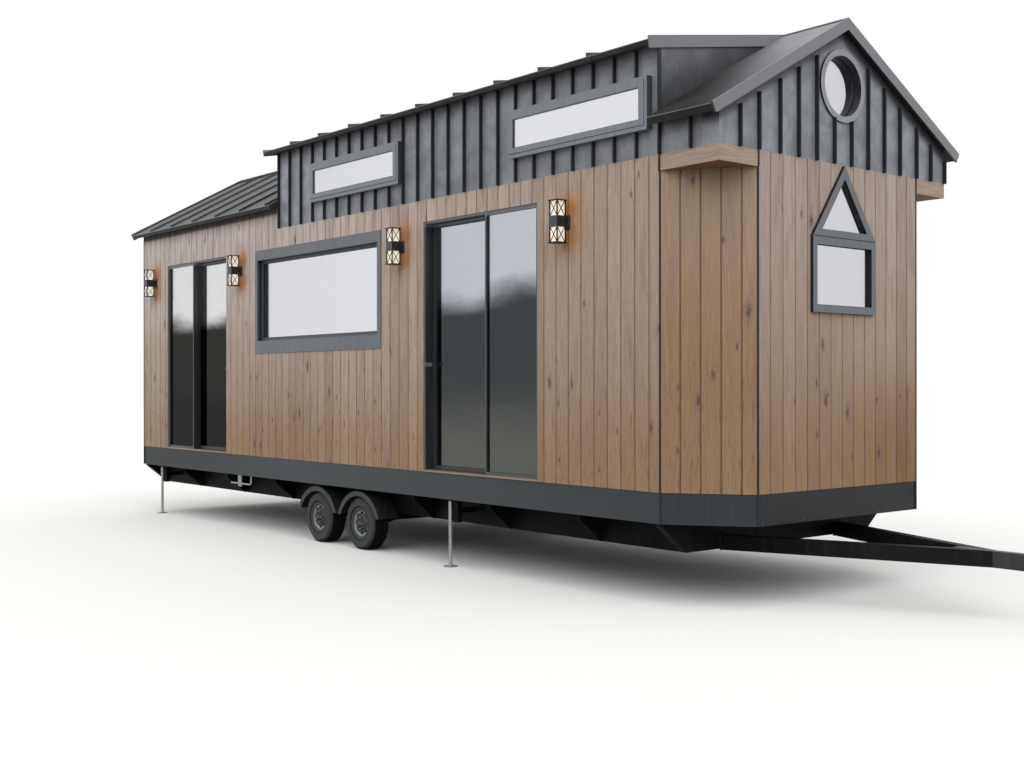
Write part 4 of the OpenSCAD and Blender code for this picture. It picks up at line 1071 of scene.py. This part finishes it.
def gaskets(name, radius, *lines, slot="window_trim", **how):
    """Rubber beads or joints along lines."""
    lay_bead(name, slot, gasket_look, radius, *lines, **how)


def pane_loop(sign, place, faces, lip, y):
    """The edge of a side pane, from its window's place, its trim's faces and the sash's width."""
    x, z, wide, tall = place
    rear, front, head, sill = faces
    return [(u, sign * (WALL + y), v) for u, v in oblong(
        x - wide + rear + lip, x - front - lip, z + sill + lip, z + tall - head - lip)]


gaskets("sash_gaskets", 0.005, pane_loop(-1, BIG, (0.046, 0.056, 0.096, 0.122), 0.031, -0.050),
        pane_loop(1, SMALL, (0.050, 0.050, 0.060, 0.060), 0.031, -0.050), closed=True)
JOINT_Y = 1.2998
dormers = [(sign, x) for sign in (-1, 1) for x in DORMER_WINDOWS]
gaskets("dormer_gaskets", 0.0045, *[
    pane_loop(sign, (x, DORMER_SILL, DORMER_WIDE, DORMER_TALL), (0.040, 0.077, 0.066, 0.072), 0.001, 0.041)
    for sign, x in dormers], closed=True)
gaskets("dormer_joints", 0.0026, *[
    [(x - DORMER_WIDE + 0.003, sign * JOINT_Y, DORMER_SILL + 0.030),
     (x - 0.026, sign * JOINT_Y, DORMER_SILL + 0.030),
     (x - 0.026, sign * JOINT_Y, DORMER_SILL + DORMER_TALL - 0.02)] for sign, x in dormers])
light = oblong(-0.305, 0.305, 1.433, 1.834)
gable_light = [(-0.250, 1.937), (0.250, 1.937), (0.0, 2.291)]
gaskets("front_gaskets", 0.006, *[[(0.002, y, z) for y, z in outline] for outline in (light, gable_light)],
        [(-0.049, y, z) for y, z in circle(ROUND_R - 0.041, ROUND_Z)], closed=True)
gaskets("transom_joint", 0.0026, [(0.0278, -0.34, 1.888), (0.0278, 0.34, 1.888)])

# Sliding doors
# Anthracite frames with two panes each: a fixed one in front and a leaf that slides behind it,
# with a lit sill nosing, a pull on the leaf and a keep bar on the jamb.
door_look, inputs = shade("door_paint", gloss=0.3)
FRAME_FACE = -1.2385
part = here()
# Painted shade darkens the frame's parts set back in the doorway; painted light brightens the top rails and
# the sill nosing
face = mixed(calc("LESS_THAN", part["Y"], FRAME_FACE), (42, 44, 47), (72, 76, 80))
topmost = product(fade(part["Z"], 2.165, 2.185), 0.85)
face = mixed(topmost, face, (136, 140, 147))
face = mixed(fade(part["Z"], 0.222, 0.214), face, (150, 128, 108))
wear(weather, inputs, 0.0003, Colour=face, Dust=0.06, Reach=1.0, Shine=0.36, Clouds=0.1)
coat(door_look, "door_frames", "fixed_leaves", "front_sliding_leaf", "rear_sliding_leaf")

# The door panes' colour is painted: a painted view of the dark room behind up to eye level and a painted
# reflection of the pale sky above it
panes, given, result = effect("door_panes", {}, ["Colour"])
part = here()
wavy = calc("SUBTRACT", cloud(spot((0.8, 0.8, 2.0)), 1.4, 4.0), 0.5)
level = calc("ADD", part["Z"], product(wavy, 0.35))
rearward = fade(part["X"], -4.0, -6.0)
low_room = mixed(rearward, (98, 101, 96), (22, 20, 22))
high_room = mixed(rearward, (69, 73, 75), (50, 54, 48))
room = mixed(fade(level, 0.35, 1.0), low_room, high_room)
sky_reflection = mixed(rearward, (212, 215, 223), (255, 255, 255))
panes.links.new(mixed(fade(level, 1.46, 1.70), room, sky_reflection), result["Colour"])
DOORWAY_HALF, DOORWAY_HEAD, DOORWAY_INSIDE = 0.75, 2.25, -1.12
for name, *nodes in (("door_glass", "front_sliding_glass", "rear_sliding_glass"),
                     ("fixed_glass", "window_glass")):
    look, inputs = shade(name, 0.03, 0.72)
    inputs["Transmission Weight"].default_value = 1.0
    inputs["Specular Tint"].default_value = plain(160, 160, 160)
    part = here()
    first, second = [calc("COMPARE", part["X"], x - DOOR_W / 2, DOORWAY_HALF) for x in DOORS]
    doorway = product(calc("ADD", first, second), calc("LESS_THAN", part["Z"], DOORWAY_HEAD),
                      calc("LESS_THAN", part["Y"], DOORWAY_INSIDE))
    pale = mixed(calc("GREATER_THAN", part["X"], -0.3), (248, 249, 254), (234, 235, 240))
    dark = put("ShaderNodeGroup", node_tree=panes)
    tree.links.new(mixed(doorway, pale, dark), inputs["Base Color"])
    coat(look, *nodes)

# The leaf's closing edge from the doorway's middle and its width, where the glass of the leaf and of
# the fixed pane is, and how high and how far each reaches
LEAF_X0, LEAF_W, LEAF_GLASS_Y, FIXED_GLASS_Y = -DOOR_W / 2 + 0.021, 0.790, -1.1640, -1.2232
LEAF_GLASS, FIXED_GLASS = (0.254, 2.163), (0.242, 2.185)
FIXED_ENDS, LEAF_ENDS = (0.027, 0.606), (LEAF_X0 + 0.044, LEAF_X0 + LEAF_W - 0.034)
doorways = [("front", DOORS[0] - DOOR_W / 2, 1), ("rear", DOORS[1] - DOOR_W / 2, -1)]
gaskets("fixed_pane_gaskets", 0.0035, *[
    [(u, FIXED_GLASS_Y, v) for u, v in oblong(
        *sorted(middle + sign * (DOOR_W / 2 - end) for end in FIXED_ENDS), *FIXED_GLASS)]
    for end, middle, sign in doorways], slot="door_paint", closed=True)
pull = pattern(block_mesh("pull", (-0.011, -0.009, -0.12), (0.011, 0.0, 0.12)))
pull_look = finish("pull_paint", (46, 48, 52), 0.0002, Dust=0.03, Shine=0.3)
for end, middle, sign in doorways:
    ends = sorted(middle + sign * x for x in LEAF_ENDS)
    gaskets(end + "_leaf_gaskets", 0.0035, [(u, LEAF_GLASS_Y, v) for u, v in oblong(*ends, *LEAF_GLASS)],
            slot="door_paint", closed=True, body=end + "_door_leaf")
    set_rows(end + "_pull", "door_paint", pull_look, pull,
             (middle + sign * (LEAF_X0 + 0.022), -1.176, 1.06), (0, 0, 0), 1, body=end + "_door_leaf")
keep = pattern(block_mesh("keep", (-0.0030, -0.034, -0.0155), (0.0030, 0.034, 0.0155)))
keep_look = finish("keep_steel", (150, 152, 154), 0.0002, metallic=0.5, Dust=0.05, Shine=0.35)
set_rows("keep_bars", "door_paint", keep_look, keep, (DOORS[0] - DOOR_W + 0.0175, -1.216, 1.065),
         (DOORS[1] - DOORS[0] + DOOR_W - 0.035, 0, 0), 2)

# Lanterns
# Black cages over and under a solid middle, on a wall plate, with frosted panes that glow warm
# behind crossed wires.
LAMP_Y, LAMP_HALF = -1.335, 0.0425
lamp_look, inputs = shade("lantern_metal", gloss=0.25)
height = far_from(here()["Z"], LAMP_Z)
# Painted light: the solid middle's outward face is lighter than its faces that look along the wall
cheek = fade(far_from(facing()["X"], 0.0), 0.3, 0.7)
solid = mixed(cheek, (70, 76, 84), (38, 38, 40))
wear(weather, inputs, 0.0003, Colour=mixed(fade(height, 0.0395, 0.0385), (22, 22, 24), solid), Dust=0.02,
     Shine=0.4)
coat(lamp_look, "lantern_frames")
glow_look, inputs = shade("lantern_glass", 0.5)
height = far_from(here()["Z"], LAMP_Z)
warm = mixed(fade(height, 0.05, 0.14), (252, 243, 230), (240, 224, 204))
frost = fade(cloud(spot(), 90.0), 0.3, 0.7)
tree.links.new(mixed(frost, warm, (250, 238, 222)), inputs["Base Color"])
tree.links.new(warm, inputs["Emission Color"])
inputs["Emission Strength"].default_value = 0.42
coat(glow_look, "lantern_glass")
cross = bpy.data.meshes.new("cross")
work = bmesh.new()
pane_half, reach = LAMP_HALF - 0.008, 0.104
for tier in (-1, 1):
    for lean in (-1, 1):
        place = Matrix.Translation((0, -pane_half - 0.002, tier * (0.039 + reach / 2)))
        tilt = Matrix.Rotation(-lean * math.atan2(reach, 2 * pane_half), 4, "Y")
        bmesh.ops.create_cube(work, size=1.0, matrix=place @ tilt @ Matrix.Diagonal(
            (math.hypot(reach, 2 * pane_half), 0.004, 0.0042, 1)))
work.to_mesh(cross)
wires = pattern(cross)
for face in range(4):
    set_rows("lantern_wires_%d" % face, "lantern_metal", lamp_look, wires,
             (DOORS[0] + LAMP_OUT, LAMP_Y, LAMP_Z), (-DOOR_W - 2 * LAMP_OUT, 0, 0), 2,
             (DOORS[1] - DOORS[0], 0, 0), 2, (0, 0, face * math.pi / 2))

lo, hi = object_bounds()
